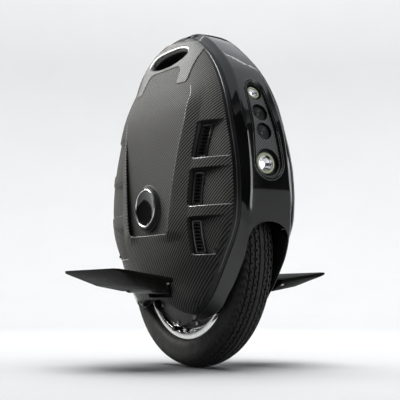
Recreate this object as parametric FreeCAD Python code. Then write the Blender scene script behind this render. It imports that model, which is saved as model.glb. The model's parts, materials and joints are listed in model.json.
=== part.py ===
import FreeCAD, Part
import os
import math

os.makedirs("parts", exist_ok=True)
V = FreeCAD.Vector

# ---------------------------------------------------------------- dimensions
# Frame: X forward (front lamps), Y left, Z up, origin on the ground under the axle.
TYRE_R = 215.0          # 16 x 3.0 road tyre, 430 mm outside diameter
TYRE_HW = 36.0          # half of the section width
AXLE_Z = TYRE_R
AXLE_R = 10.0
AXLE_HALF = 72.0
BEAD_R = 152.5          # bead seat radius (305 mm rim)
FLANGE_R = 162.0        # rim lip radius
RIM_IN_HW = 25.0        # half width between rim flanges
RIM_HW = 30.0           # half width over the flanges
WELL_R = 227.0          # wheel well radius
WELL_HW = 43.0          # half width of the wheel well
WALL = 3.0              # shell thickness
SLOT_HW = 41.0          # half width of the tyre slot in the fascias
ARCH_Z = 270.0          # top of the arch openings
SPLIT_Z = 572.0         # parting height between fascias and top bridge
HINGE_Y = 122.0         # pedal hinge axis
HINGE_Z = 155.0
PIN_R = 5.0
PIN_CLEAR = 0.06
PEDAL_HX = 113.0        # half length of a pedal
PEDAL_Y1 = 240.0        # outer edge of a pedal
BOSS_Z = 306.0
BOSS_R = 47.0
HOLE_X = -9.0           # hand hole
HOLE_Z = 608.0
HOLE_HX = 64.0
HOLE_HZ = 17.0
HOLE_RC = 14.5
LAMP_LO_Z, LAMP_LO_R = 378.0, 19.0
LAMP_UP_Z, LAMP_UP_R = 516.0, 13.5
SPK_Z = (437.0, 474.0)
SPK_R = 14.5
BEZ_LO_R, BEZ_UP_R, BEZ_W = 34.0, 23.0, 6.0
PORT_Z = 520.0          # charge port on the rear
BUTTON_Z = 553.0        # power button on the rear
REAR_LOW = 117.5        # lower end of the rear fascia

# Outline tables over height
EM_T = [(87, 30), (88, 44), (95, 107), (104, 130), (116, 152), (141, 175), (158, 191), (180, 206),
        (209, 224), (246, 236), (270, 239.5), (318, 241), (355, 239), (425, 229), (489, 207),
        (557, 169.5), (589, 141), (616, 110), (638, 80), (650, 57), (656, 40), (660, 20)]
XS_T = [(87, 12), (94, 20), (95, 30), (102, 84), (115, 112), (133, 136), (181, 173), (212, 194), (243, 214),
        (278, 228), (318, 231), (358, 228.5), (398, 221), (438, 209), (500, 188), (546, 163),
        (587, 129), (610, 101), (626, 76), (640, 50), (648, 30), (655, 12), (660, 6)]
W_T = [(94, 58.5), (97, 60), (110, 74), (130, 84), (160, 93), (190, 102), (220, 109.5), (254, 116),
       (290, 119), (340, 119.5), (390, 119), (437, 117), (484, 112), (520, 103), (550, 91),
       (575, 79), (608, 63), (625, 53), (640, 42), (648, 36), (655, 32)]
YS_T = [(87, 58), (318, 58), (438, 55), (500, 52), (546, 48), (587, 44), (610, 41), (626, 38),
        (640, 35), (655, 31), (660, 30)]
YG_T = [(87, 46), (300, 46), (318, 45), (355, 43), (425, 42), (489, 40), (557, 33), (589, 30),
        (640, 25), (660, 22)]
SUP_P, SUP_Q = 2.5, 0.72
# the top of the body is fuller towards the rear: by how much in length and in half width
REAR_X_T = [(548, 0), (573, 8), (590, 13), (609, 18), (625, 23), (636, 27), (644, 28), (650, 24), (655, 16), (660, 6)]
REAR_Y_T = [(556, 0), (580, 3), (609, 5), (633, 6), (648, 5), (660, 2)]
# arched lower edge of the side covers, as (X, Z)
LOWER = [(-139, 60), (-139, 106), (-110, 119), (-85, 128.5), (-66, 131), (-8, 131), (11, 128), (30, 117), (46, 109), (65, 104), (84, 100), (84, 60)]


def pchip(tab):
    xs = [float(t[0]) for t in tab]
    ys = [float(t[1]) for t in tab]
    n = len(xs)
    h = [xs[i + 1] - xs[i] for i in range(n - 1)]
    d = [(ys[i + 1] - ys[i]) / h[i] for i in range(n - 1)]
    m = [d[0]] + [0.0] * (n - 2) + [d[-1]]
    for i in range(1, n - 1):
        if d[i - 1] * d[i] > 0:
            w1 = 2 * h[i] + h[i - 1]
            w2 = h[i] + 2 * h[i - 1]
            m[i] = (w1 + w2) / (w1 / d[i - 1] + w2 / d[i])

    def f(x):
        if x <= xs[0]:
            return ys[0]
        if x >= xs[-1]:
            return ys[-1]
        i = 0
        while x > xs[i + 1]:
            i += 1
        t = (x - xs[i]) / h[i]
        return ((2 * t ** 3 - 3 * t ** 2 + 1) * ys[i] + (t ** 3 - 2 * t ** 2 + t) * h[i] * m[i]
                + (-2 * t ** 3 + 3 * t ** 2) * ys[i + 1] + (t ** 3 - t ** 2) * h[i] * m[i + 1])
    return f


EM, XS, WW, YS, YG = pchip(EM_T), pchip(XS_T), pchip(W_T), pchip(YS_T), pchip(YG_T)
REAR_X, REAR_Y = pchip(REAR_X_T), pchip(REAR_Y_T)


def rearward(s):
    """0 on the front half of the outline, 1 at its rear end (s from 1 to -1 along X)."""
    t = min(1.0, max(0.0, (-s - 0.1) / 0.9))
    return t * t * (3 - 2 * t)


def cover_w(x, z):
    s = min(1.0, abs(x) / XS(z))
    return YS(z) + (WW(z) - YS(z)) * (1 - s ** SUP_P) ** SUP_Q


# ---------------------------------------------------------------- helpers
def box(x0, x1, y0, y1, z0, z1):
    return Part.makeBox(x1 - x0, y1 - y0, z1 - z0, V(x0, y0, z0))


def cyl(p, d, r, l):
    return Part.makeCylinder(r, l, V(*p), V(*d))


def cyl_y(x, z, r, y0, y1):
    return Part.makeCylinder(r, y1 - y0, V(x, y0, z), V(0, 1, 0))


def cyl_x(y, z, r, x0, x1):
    return Part.makeCylinder(r, x1 - x0, V(x0, y, z), V(1, 0, 0))


def poly_face(pts):
    return Part.Face(Part.makePolygon(pts + [pts[0]]))


def prism_y(xz, y0, y1):
    return poly_face([V(x, y0, z) for x, z in xz]).extrude(V(0, y1 - y0, 0))


def prism_x(yz, x0, x1):
    return poly_face([V(x0, y, z) for y, z in yz]).extrude(V(x1 - x0, 0, 0))


def revolve_y(ry):
    # profile of (radius, y) pairs turned about the axle line
    f = poly_face([V(r, y, AXLE_Z) for r, y in ry])
    return f.revolve(V(0, 0, AXLE_Z), V(0, 1, 0), 360)


def mirror_y(s):
    return s.mirror(V(0, 0, 0), V(0, 1, 0))


def mirror_x(s):
    return s.mirror(V(0, 0, 0), V(1, 0, 0))


def fuse(lst):
    s = lst[0]
    if len(lst) > 1:
        s = s.multiFuse(lst[1:])
    return s.removeSplitter()


def clean(s):
    sol = s.Solids
    if len(sol) == 1:
        return sol[0]
    return Part.makeCompound(sol)


PARTS = {}


def put(name, shape):
    s = clean(shape)
    PARTS[name] = s
    s.exportStep("parts/%s.step" % name)
    print(name, len(s.Solids), "solids", round(s.Volume / 1000.0, 2), "cm3", "valid" if s.isValid() else "INVALID")


# ---------------------------------------------------------------- body lofts
COVER_Z = [102, 108, 115, 124, 133, 157, 181, 212, 243, 278, 318, 358, 398, 438, 470, 500, 525, 546, 567,
           587, 610, 626, 640, 648]
NARC = 24


def cover_loft(off, zlo, zhi, close_off):
    """Solid behind one side cover (the -Y side), inset by off; the flat side lies at |Y| = seam + close_off."""
    zs = [zlo] + [z for z in COVER_Z if zlo + 3 < z < zhi - 3] + [zhi]
    wires = []
    par = [i / float(NARC) for i in range(NARC + 1)]
    for z in zs:
        xs = XS(z) - off
        ys = YS(z) + close_off
        w = max(WW(z) - off, ys + 0.6)
        pts = []
        for i in range(NARC + 1):
            s = math.sin(math.pi * (i / float(NARC) - 0.5))
            y = ys + (w - ys) * (1 - abs(s) ** SUP_P) ** SUP_Q
            t = rearward(s)
            pts.append(V(xs * s - REAR_X(z) * t, -y - REAR_Y(z) * t, z))
        c = Part.BSplineCurve()
        c.interpolate(Points=pts, Parameters=par)
        e1 = c.toShape()
        e2 = Part.LineSegment(pts[-1], pts[0]).toShape()
        wires.append(Part.Wire([e1, e2]))
    return Part.makeLoft(wires, True, False)


BAND_Z = [92, 95, 99, 104, 110, 116, 124, 132, 141, 150, 158, 169, 180, 194, 209, 222, 234, 246, 258, 270, 286, 302, 318,
          336, 355, 372, 390, 408, 425, 442, 458, 474, 489, 506, 523, 540, 557, 573, 589, 602, 616, 627, 638, 644, 650,
          653, 656, 660]


def band_loft(off, zlo, zhi, side):
    """Solid inside the centre band, grown by off; its sides lie at |Y| = seam + side."""
    zs = [zlo] + [z for z in BAND_Z if zlo + 2 < z < zhi - 2] + [zhi]
    wires = []
    for z in zs:
        e, g = EM(z) + off, YG(z)
        s, y = XS(z) + off, YS(z)
        e = max(e, 4.0)
        s = min(max(s, 2.0), e - 0.5)
        # follow the bevel out to the wanted side plane, or to the mid line if that comes first
        y2 = min(y + side, g + (y - g) * 0.98 * e / (e - s))
        s2 = e + (s - e) * (y2 - g) / (y - g)
        rx, ry = REAR_X(z), REAR_Y(z)
        q = [(e, -g), (e, g), (s2, y2), (-s2 - rx, y2 + ry), (-e - rx, g + ry), (-e - rx, -g - ry), (-s2 - rx, -y2 - ry), (s2, -y2)]
        wires.append(Part.makePolygon([V(a, b, z) for a, b in q] + [V(q[0][0], q[0][1], z)]))
    return Part.makeLoft(wires, True, True)


B_OUT = band_loft(0.0, 92.0, 660.0, -0.3)
B_IN = band_loft(-WALL, 95.0, 656.5, 14.0)
B_P2 = band_loft(1.8, 300.0, 600.0, -0.3)
B_M3 = band_loft(-3.0, 300.0, 600.0, 8.0)
B_M6 = band_loft(-6.0, 300.0, 600.0, 12.0)
C_OUT = cover_loft(0.0, 102.0, 648.0, 0.2)
C_IN = cover_loft(WALL, 105.0, 645.0, -10.0)

band = B_OUT.cut(B_IN)
ARCH_RISE = 40.0        # rounded top of the arch openings
arch = [(-SLOT_HW, 0.0), (SLOT_HW, 0.0)] + [
    (SLOT_HW * math.cos(math.pi * i / 16.0), ARCH_Z - ARCH_RISE + ARCH_RISE * math.sin(math.pi * i / 16.0) ** 0.8) for i in range(17)]
band = band.cut(prism_x(arch, -300, 300))


def hull2(z1, r1, z2, r2, n=22):
    """Outline around two circles on the mid plane: lower (z1, r1), upper (z2, r2), as (y, z) points."""
    d = z2 - z1
    a = math.asin((r1 - r2) / d)
    pts = []
    for i in range(n + 1):
        t = a + (math.pi - 2 * a) * i / n
        pts.append((r2 * math.cos(t), z2 + r2 * math.sin(t)))
    for i in range(n + 1):
        t = (math.pi - a) + (math.pi + 2 * a) * i / n
        pts.append((r1 * math.cos(t), z1 + r1 * math.sin(t)))
    return pts


def hull_prism(z1, r1, z2, r2, x0, x1):
    return prism_x(hull2(z1, r1, z2, r2), x0, x1)


# ---------------------------------------------------------------- front lamp cluster
bez_o = hull_prism(LAMP_LO_Z, BEZ_LO_R, LAMP_UP_Z, BEZ_UP_R, 120, 300)
bez_i = hull_prism(LAMP_LO_Z, BEZ_LO_R - BEZ_W, LAMP_UP_Z, BEZ_UP_R - BEZ_W, 100, 320)
lamp_bezel = B_P2.common(bez_o.cut(bez_i)).cut(B_M6)
lamp_panel = B_M3.common(bez_i).cut(B_M6)


def nrm(z):
    dz = 4.0
    s = (EM(z + dz) - EM(z - dz)) / (2 * dz)
    l = math.hypot(1.0, s)
    return (1.0 / l, 0.0, -s / l)


def cup(z, r, x_back, x_lens, x_front):
    """Lamp cup open to the front, with a conical reflector and a seat for the lens."""
    pts = [(x_back, 0.0), (x_back, r), (x_front, r), (x_front, r - 1.5), (x_lens, r - 1.5),
           (x_lens, r - 2.6), (x_back + 7, 5.0), (x_back + 7, 0.0)]
    f = poly_face([V(x, 0, z + rr) for x, rr in pts])
    return f.revolve(V(0, 0, z), V(1, 0, 0), 360)


lo_lens_x, up_lens_x = 222.0, 182.0
lower_reflector = cup(LAMP_LO_Z, LAMP_LO_R, 200.0, lo_lens_x, 228.0)
upper_reflector = cup(LAMP_UP_Z, LAMP_UP_R, 162.0, up_lens_x, 187.0)
lower_lens = cyl((lo_lens_x, 0, LAMP_LO_Z), (1, 0, 0), LAMP_LO_R - 1.5, 2.5)
upper_lens = cyl((up_lens_x, 0, LAMP_UP_Z), (1, 0, 0), LAMP_UP_R - 1.5, 2.0)
lamp_leds = Part.makeCompound([cyl((207.0, 0, LAMP_LO_Z), (1, 0, 0), 4.0, 3.0),
                               cyl((169.0, 0, LAMP_UP_Z), (1, 0, 0), 3.5, 3.0)])
lamp_panel = lamp_panel.cut(cyl((100, 0, LAMP_LO_Z), (1, 0, 0), LAMP_LO_R, 300))
lamp_panel = lamp_panel.cut(cyl((100, 0, LAMP_UP_Z), (1, 0, 0), LAMP_UP_R, 300))
lamp_bezel = lamp_bezel.cut(cyl((100, 0, LAMP_LO_Z), (1, 0, 0), LAMP_LO_R, 300))
spk = []
for z in SPK_Z:
    n = nrm(z)
    p0 = (EM(z) - 2.0, 0.0, z)
    back = tuple(p0[i] - 22.0 * n[i] for i in range(3))
    lamp_panel = lamp_panel.cut(cyl(back, n, SPK_R, 60))
    can = cyl(back, n, SPK_R, 21.0)
    dish = Part.makeCone(SPK_R - 2.0, SPK_R - 6.0, 4.0, V(*tuple(p0[i] - 1.0 * n[i] for i in range(3))), V(*[-c for c in n]))
    dome = Part.makeCylinder(4.0, 3.0, V(*tuple(p0[i] - 5.2 * n[i] for i in range(3))), V(*n))
    spk.append(fuse([can.cut(dish), dome]))

# ---------------------------------------------------------------- tail lamp, charge port, power button (rear)
tail_o = hull_prism(378.0, 24.0, 450.0, 18.0, -300, -120)
tail_lens = B_OUT.common(tail_o).cut(B_M3)
tail_housing = B_M3.common(tail_o).cut(B_M6)

n_port = nrm(PORT_Z)
n_port = (-n_port[0], 0.0, n_port[2])
t_port = (n_port[2], 0.0, -n_port[0])            # along the surface, upwards
p_port = (-EM(PORT_Z), 0.0, PORT_Z)


def along(p, n, d, t=None, e=0.0):
    return tuple(p[i] + n[i] * d + (t[i] * e if t else 0.0) for i in range(3))


charge_socket = fuse([cyl(along(p_port, n_port, -24), n_port, 10.0, 24.5),
                      cyl(along(p_port, n_port, 0.5), n_port, 13.0, 1.5)])
charge_socket = charge_socket.cut(cyl(along(p_port, n_port, -8.0), n_port, 8.0, 20)).cut(cyl(along(p_port, n_port, -15.0), n_port, 7.2, 10))
pins = [cyl(along(p_port, n_port, -15.0), n_port, 1.0, 6.0).translated(
    V(3.4 * math.cos(a) * t_port[0], 3.4 * math.sin(a), 3.4 * math.cos(a) * t_port[2]))
    for a in (0.0, 2 * math.pi / 3, 4 * math.pi / 3)]
charge_socket = fuse([charge_socket] + pins)
CAP_HINGE_E = 16.5
cap_h = along(p_port, n_port, 3.6, t_port, CAP_HINGE_E)
charge_cap = fuse([cyl(along(p_port, n_port, 2.4), n_port, 13.0, 2.4),
                   Part.makeBox(7.0, 10.0, 2.4).translated(V(10.0, -5.0, 0)).transformGeometry(
                       FreeCAD.Matrix(t_port[0], 0, n_port[0], along(p_port, n_port, 2.4)[0],
                                      t_port[1], 1, n_port[1], along(p_port, n_port, 2.4)[1],
                                      t_port[2], 0, n_port[2], along(p_port, n_port, 2.4)[2],
                                      0, 0, 0, 1)),
                   cyl((cap_h[0], -5.0, cap_h[2]), (0, 1, 0), 2.0, 10.0)])
charge_cap = charge_cap.cut(cyl((cap_h[0], -10.0, cap_h[2]), (0, 1, 0), 1.0, 20.0))
# hinge pin with two lugs, carried by the rear fascia
lug = []
for y0 in (-9.0, 5.4):
    lug.append(cyl((cap_h[0], y0, cap_h[2]), (0, 1, 0), 2.0, 3.6))
    b = Part.makeBox(4.0, 3.6, 6.0, V(-2.0, 0, -6.0)).transformGeometry(
        FreeCAD.Matrix(t_port[0], 0, n_port[0], cap_h[0], t_port[1], 1, n_port[1], y0,
                       t_port[2], 0, n_port[2], cap_h[2], 0, 0, 0, 1))
    lug.append(b)
cap_pin = cyl((cap_h[0], -9.0, cap_h[2]), (0, 1, 0), 0.95, 18.0)

n_btn = nrm(BUTTON_Z)
n_btn = (-n_btn[0], 0.0, n_btn[2])
p_btn = (-EM(BUTTON_Z), 0.0, BUTTON_Z)
power_button = fuse([cyl(along(p_btn, n_btn, -7.0), n_btn, 6.5, 9.5), cyl(along(p_btn, n_btn, -9.0), n_btn, 8.6, 2.0)])

# ---------------------------------------------------------------- fascias and top bridge
front_fascia = band.common(box(0.2, 300, -80, 80, 0, SPLIT_Z)).cut(bez_o)
rear_fascia = band.common(box(-300, -0.2, -80, 80, REAR_LOW, SPLIT_Z))
rear_fascia = rear_fascia.cut(tail_o)
rear_fascia = rear_fascia.cut(cyl(along(p_port, n_port, -30), n_port, 10.0, 60))
rear_fascia = rear_fascia.cut(cyl(along(p_btn, n_btn, -30), n_btn, 6.9, 60))
rear_fascia = rear_fascia.cut(cyl(along(p_btn, n_btn, -14), n_btn, 9.0, 11.0))
rear_fascia = fuse([rear_fascia] + lug + [cap_pin])
top_bridge = band.common(box(-300, 300, -80, 80, SPLIT_Z + 0.4, 700))

# carry grip under the top bridge, with the lift switch in its underside
grip = box(-64, 64, -19, 19, 628, 641)
grip = grip.makeFillet(4.5, [e for e in grip.Edges if abs(e.Vertexes[0].Point.x - e.Vertexes[-1].Point.x) > 50])
post = [box(-64, -56, -15, 15, 636, 645.5), box(56, 64, -15, 15, 636, 645.5), box(-20, 20, -12, 12, 636, 655.0)]
LIFT = (0.0, 0.0, 628.0)
handle_grip = fuse([grip] + post)
handle_grip = handle_grip.cut(B_OUT.cut(B_IN))
handle_grip = handle_grip.cut(box(-11.3, 11.3, -6.3, 6.3, 620, 634)).cut(box(-13.5, 13.5, -8.5, 8.5, 631.0, 637.5))
lift_button = fuse([box(-11, 11, -6, 6, 626.0, 632.0), box(-13, 13, -8, 8, 631.4, 633.4)])

# ---------------------------------------------------------------- side covers
cover = C_OUT.cut(C_IN)
POCKET = [(-76, 254), (76, 254), (88, 336), (104, 470), (-104, 470), (-88, 336)]
FLOOR = ((254.0, 108.5), (470.0, 118.5))


def floor_y(z):
    (z0, y0), (z1, y1) = FLOOR
    return y0 + (y1 - y0) * (z - z0) / (z1 - z0)


pk = prism_y(POCKET, -160, -60)
pk_cut = pk.common(prism_x([(-160, 250), (-160, 480), (-floor_y(480), 480), (-floor_y(250), 250)], -150, 150))
grow = [(-79, 251), (79, 251), (91, 336), (107, 473), (-107, 473), (-91, 336)]
pk_floor = prism_y(grow, -160, -60).common(
    prism_x([(-floor_y(250), 250), (-floor_y(480), 480), (-floor_y(480) + WALL, 480), (-floor_y(250) + WALL, 250)], -150, 150))
pk_rim = prism_y(grow, -160, -60).cut(pk).common(
    prism_x([(-160, 250), (-160, 480), (-floor_y(480) + WALL, 480), (-floor_y(250) + WALL, 250)], -150, 150)).common(C_OUT)
cover = cover.cut(pk_cut)
cover = cover.fuse(pk_floor.common(C_OUT)).fuse(pk_rim)
cover = cover.cut(cyl_y(0, BOSS_Z, BOSS_R, -160, -60))
VENTS = [(392.0, 453.0), (304.0, 366.0), (215.0, 278.0)]
VX0, VX1 = 128.0, 172.0
VX1_LOW = 160.0
for z0, z1 in VENTS:
    x1 = VX1_LOW if z0 < 250 else VX1
    for s in (1, -1):
        cover = cover.cut(box(min(s * VX0, s * x1), max(s * VX0, s * x1), -160, -60, z0, z1))
hole_cut = box(HOLE_X - HOLE_HX, HOLE_X + HOLE_HX, -200, 0, HOLE_Z - HOLE_HZ, HOLE_Z + HOLE_HZ)
hole_cut = hole_cut.makeFillet(HOLE_RC, [e for e in hole_cut.Edges if abs(e.Vertexes[0].Point.y - e.Vertexes[-1].Point.y) > 100])
# the handle panel is a piece of its own, set into the cover from its top edge down to two short legs
PANEL = [(-96, 611), (-150, 611), (-150, 700), (150, 700), (150, 611), (96, 611), (92, 577), (95, 541), (66, 541), (60, 569), (50, 578),
         (-50, 578), (-60, 569), (-66, 541), (-95, 541), (-92, 577)]
panel_prism = prism_y(PANEL, -200, -20)
panel = cover.common(panel_prism).cut(hole_cut)
cover = cover.cut(panel_prism)
# arched lower edge
cover = cover.cut(prism_y(LOWER, -160, -20))
# opening for the pedal hanger
cover = cover.cut(box(-46, 46, -160, -57, 134, 172))
SCREWS = [(100.0, 127.0), (-100.0, 127.0), (178.0, 220.0), (-178.0, 220.0)]
scr = []
for x, z in SCREWS:
    w = cover_w(x, z)
    scr.append(fuse([cyl_y(x, z, 4.0, -w - 1.0, -w + 3.5), cyl_y(x, z, 2.0, -w + 3.5, -w + 14.0)]))
for s in scr:
    cover = cover.cut(s)

# vent grilles
grilles = []
for z0, z1 in VENTS:
    x1 = (VX1_LOW if z0 < 250 else VX1) + 3.0
    x0 = VX0 - 3.0
    za, zb = z0 - 2.0, z1 + 2.0
    ya = min(cover_w(x0, z) for z in (za, 0.5 * (za + zb), zb)) - 9.5
    yb = min(cover_w(x1, z) for z in (za, 0.5 * (za + zb), zb)) - 9.5
    d = V(x1 - x0, -(yb - ya), 0)
    L = d.Length
    u = (d.x / L, d.y / L)

    def gb(a0, a1, t0, t1, h0, h1):
        pts = [V(x0 + u[0] * a - u[1] * t, -ya + u[1] * a + u[0] * t, h0) for a, t in ((a0, t0), (a1, t0), (a1, t1), (a0, t1))]
        return poly_face(pts).extrude(V(0, 0, h1 - h0))
    bars = [gb(0, 3, 0, 2.4, za, zb), gb(L - 3, L, 0, 2.4, za, zb), gb(0, L, 0, 2.4, za, za + 3), gb(0, L, 0, 2.4, zb - 3, zb)]
    nsl = 8
    for i in range(1, nsl):
        h = za + 3 + (zb - za - 6) * i / nsl
        bars.append(gb(2, L - 2, 0.3, 2.1, h - 1.1, h + 1.1))
    g = fuse(bars)
    grilles += [g, mirror_x(g)]
grilles = Part.makeCompound(grilles)

# side boss with its ring and blank cap
yb0, yb1 = 104.0, 121.0


def turn_boss(pts):
    f = poly_face([V(r, -y, BOSS_Z) for r, y in pts])
    return f.revolve(V(0, 0, BOSS_Z), V(0, 1, 0), 360)


boss = turn_boss([(0, yb0), (BOSS_R, yb0), (BOSS_R, 113.5), (40.5, yb1), (37.0, yb1), (37.0, 115.0), (0, 115.0)])
ring = turn_boss([(34.0, 115.0), (37.0, 115.0), (37.0, 121.6), (36.2, 122.2), (34.8, 122.2), (34.0, 121.6)])
cap = turn_boss([(0, 115.0), (34.0, 115.0), (34.0, 120.0), (30.0, 118.6), (0, 117.2)])

# ---------------------------------------------------------------- centre frame
def frame_x(z):
    e, g, s, y = EM(z), YG(z), XS(z), YS(z)
    k = min(max((46.0 - g) / (y - g), 0.0), 1.0)
    return e - (e - s) * k - 5.0


FRAME_TOP = 556.0
zs = [104, 116, 128, 141, 158, 180, 209, 228, 246, 270, 295, 318, 355, 390, 425, 458, 489, 523, 540, FRAME_TOP]
outer = [(frame_x(z), z) for z in zs] + [(-frame_x(z), z) for z in reversed(zs)]
inner_z = [z for z in zs if z > 300 and z < FRAME_TOP - 4] + [FRAME_TOP - 4]
inner_p = [(frame_x(z) - 4.0, z) for z in [300] + inner_z] + [(-(frame_x(z) - 4.0), z) for z in reversed([300] + inner_z)]
centre_frame = prism_y(outer, -46.0, 46.0)
well = fuse([cyl_y(0, AXLE_Z, WELL_R, -WELL_HW, WELL_HW), box(-300, 300, -WELL_HW, WELL_HW, 0, AXLE_Z)])
chamber = prism_y(inner_p, -WELL_HW, WELL_HW).cut(cyl_y(0, AXLE_Z, WELL_R + 3.0, -60, 60))
centre_frame = centre_frame.cut(well).cut(chamber)
centre_frame = centre_frame.cut(cyl_y(0, AXLE_Z, 16.0, -60, 60))
centre_frame = centre_frame.cut(box(140, 300, -38, 38, 340, 546))              # lamp bay
centre_frame = centre_frame.cut(box(-300, -140, -26, 26, 350, 470))            # tail lamp bay
centre_frame = centre_frame.cut(box(-300, -100, -16, 16, 500, 570))            # port and button bay
centre_frame = centre_frame.cut(box(190, 300, -WELL_HW, WELL_HW, 200, 276))    # front arch
centre_frame = centre_frame.cut(box(-300, -190, -WELL_HW, WELL_HW, 200, 276))  # rear arch
centre_frame = centre_frame.cut(box(-22, 22, -60, 60, 470, 486))               # cable pass-through
centre_frame = centre_frame.cut(prism_y([(x, z + 2.0) for x, z in LOWER], -80, 80))
BOLTS = [(-36, 240), (36, 240), (-36, 180), (36, 180)]
for x, z in BOLTS:
    centre_frame = centre_frame.cut(cyl_y(x, z, 3.0, -60, 60))

# ---------------------------------------------------------------- axle, stator, hangers
axle = cyl_y(0, AXLE_Z, AXLE_R, -AXLE_HALF, AXLE_HALF)
axle = fuse([axle, cyl_y(0, AXLE_Z, 14.0, -13.0, 13.0)])
spider = cyl_y(0, AXLE_Z, 62.0, -12.0, 12.0).cut(cyl_y(0, AXLE_Z, 14.0, -20, 20))
for i in range(6):
    a = math.radians(60 * i)
    spider = spider.cut(cyl_y(39 * math.cos(a), AXLE_Z + 39 * math.sin(a), 13.0, -20, 20))
NT = 36
TOOTH_R = 120.0
pts = []
for i in range(NT):
    a0 = 2 * math.pi * i / NT
    for r, da in ((88.0, -0.055), (112.0, -0.044), (112.0, -0.072), (TOOTH_R, -0.070), (TOOTH_R, 0.070), (112.0, 0.072),
                  (112.0, 0.044), (88.0, 0.055)):
        pts.append(V(r * math.cos(a0 + da), -15.0, AXLE_Z + r * math.sin(a0 + da)))
stator = poly_face(pts).extrude(V(0, 30, 0)).cut(cyl_y(0, AXLE_Z, 62.0, -20, 20))
coils = []
for i in range(NT):
    a0 = 360.0 * i / NT
    for y in (-20.5, 15.2):
        b = box(90.0, 111.0, y, y + 5.3, AXLE_Z - 5.6, AXLE_Z + 5.6)
        b.rotate(V(0, 0, AXLE_Z), V(0, 1, 0), a0)
        coils.append(b)
windings = Part.makeCompound(coils)

hanger_plate = prism_y([(-30, 262), (30, 262), (50, 246), (56, 176), (56, 140), (-56, 140), (-56, 176), (-50, 246)], -57.0, -46.3)
arm = prism_x([(-56.0, 140.0), (-56.0, 168.0), (-HINGE_Y, 166.0), (-HINGE_Y, 144.0)], -40.0, 40.0)
hanger = fuse([hanger_plate, arm, cyl_x(-HINGE_Y, HINGE_Z, 11.0, -40.0, 40.0)])
hanger = hanger.cut(cyl_y(0, AXLE_Z, AXLE_R, -100, 0)).cut(cyl_x(-HINGE_Y, HINGE_Z, PIN_R + PIN_CLEAR, -80, 80))
bolts = []
for x, z in BOLTS:
    b = fuse([cyl_y(x, z, 5.0, -61.5, -57.0), cyl_y(x, z, 3.0, -57.0, -43.5)])
    b = b.cut(Part.makeCylinder(2.5, 3.0, V(x, -61.5, z), V(0, 1, 0)))
    hanger = hanger.cut(cyl_y(x, z, 3.0, -80, 0))
    bolts.append(b)
nut = prism_y([(15.0 * math.cos(math.radians(60 * i)), AXLE_Z + 15.0 * math.sin(math.radians(60 * i))) for i in range(6)], -67.0, -57.0)
nut = nut.cut(cyl_y(0, AXLE_Z, AXLE_R, -100, 0))

# ---------------------------------------------------------------- batteries and electronics
battery = box(-114, 114, -86, -52, 292, 470)
battery = battery.makeFillet(6.0, [e for e in battery.Edges if abs(e.Vertexes[0].Point.y - e.Vertexes[-1].Point.y) > 20])
BOARD_Z = 488.0
control_board = box(-96, 96, -36, 36, BOARD_Z, BOARD_Z + 2.0)
caps_e = [cyl((-70 + 26 * i, -20, BOARD_Z + 2.0), (0, 0, 1), 9.0, 26.0) for i in range(3)]
chips = [box(14 + 18 * i, 27 + 18 * i, 12, 27, BOARD_Z + 2.0, BOARD_Z + 6.0) for i in range(4)]
control_board = fuse([control_board] + caps_e + chips)
sink = [box(-90, 60, -36, 36, 482.0, 487.6)]
for i in range(10):
    y = -34 + i * 7.2
    sink.append(box(-90, 60, y, y + 2.4, 458.0, 482.0))
heat_sink = fuse(sink)
fan = box(66, 81, -20, 20, 447.0, 485.0).cut(cyl((60, 0, 466.0), (1, 0, 0), 17.5, 30))
blades = [cyl((67.5, 0, 466.0), (1, 0, 0), 6.5, 11.0)]
for i in range(7):
    b = box(69, 77, -0.9, 0.9, 471.0, 482.5)
    b.rotate(V(73, 0, 476), V(0, 0, 1), 28)
    b.rotate(V(73, 0, 466), V(1, 0, 0), 360.0 * i / 7)
    blades.append(b)
struts = [box(79.0, 81.0, -18.5, 18.5, 465.0, 467.0), box(78.0, 81.0, -1.2, 1.2, 448.0, 484.0)]
fan = fuse([fan] + struts + [cyl((78.0, 0, 466.0), (1, 0, 0), 6.5, 3.0)] + blades)

# ---------------------------------------------------------------- wheel
tyre = revolve_y([(158.0, 13.0), (BEAD_R, 14.0), (BEAD_R, RIM_IN_HW), (FLANGE_R + 0.6, RIM_IN_HW), (164.0, 30.5), (170.0, 34.4),
                  (180.0, TYRE_HW), (190.0, TYRE_HW), (199.0, 34.0), (206.0, 29.5), (211.0, 21.5), (214.0, 11.0), (TYRE_R, 0.0),
                  (214.0, -11.0), (211.0, -21.5), (206.0, -29.5), (199.0, -34.0), (190.0, -TYRE_HW), (180.0, -TYRE_HW),
                  (170.0, -34.4), (164.0, -30.5), (FLANGE_R + 0.6, -RIM_IN_HW), (BEAD_R, -RIM_IN_HW), (BEAD_R, -14.0), (158.0, -13.0),
                  (166.0, -20.5), (172.0, -27.5), (181.0, -30.5), (190.0, -30.0), (197.0, -26.5), (202.0, -19.5), (205.0, -9.5),
                  (206.0, 0.0), (205.0, 9.5), (202.0, 19.5), (197.0, 26.5), (190.0, 30.0), (181.0, 30.5), (172.0, 27.5), (166.0, 20.5)])


def oval_profile(rc, ar, ay, n=20):
    return [(rc + ar * math.cos(2 * math.pi * i / n), ay * math.sin(2 * math.pi * i / n)) for i in range(n)]


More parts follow.
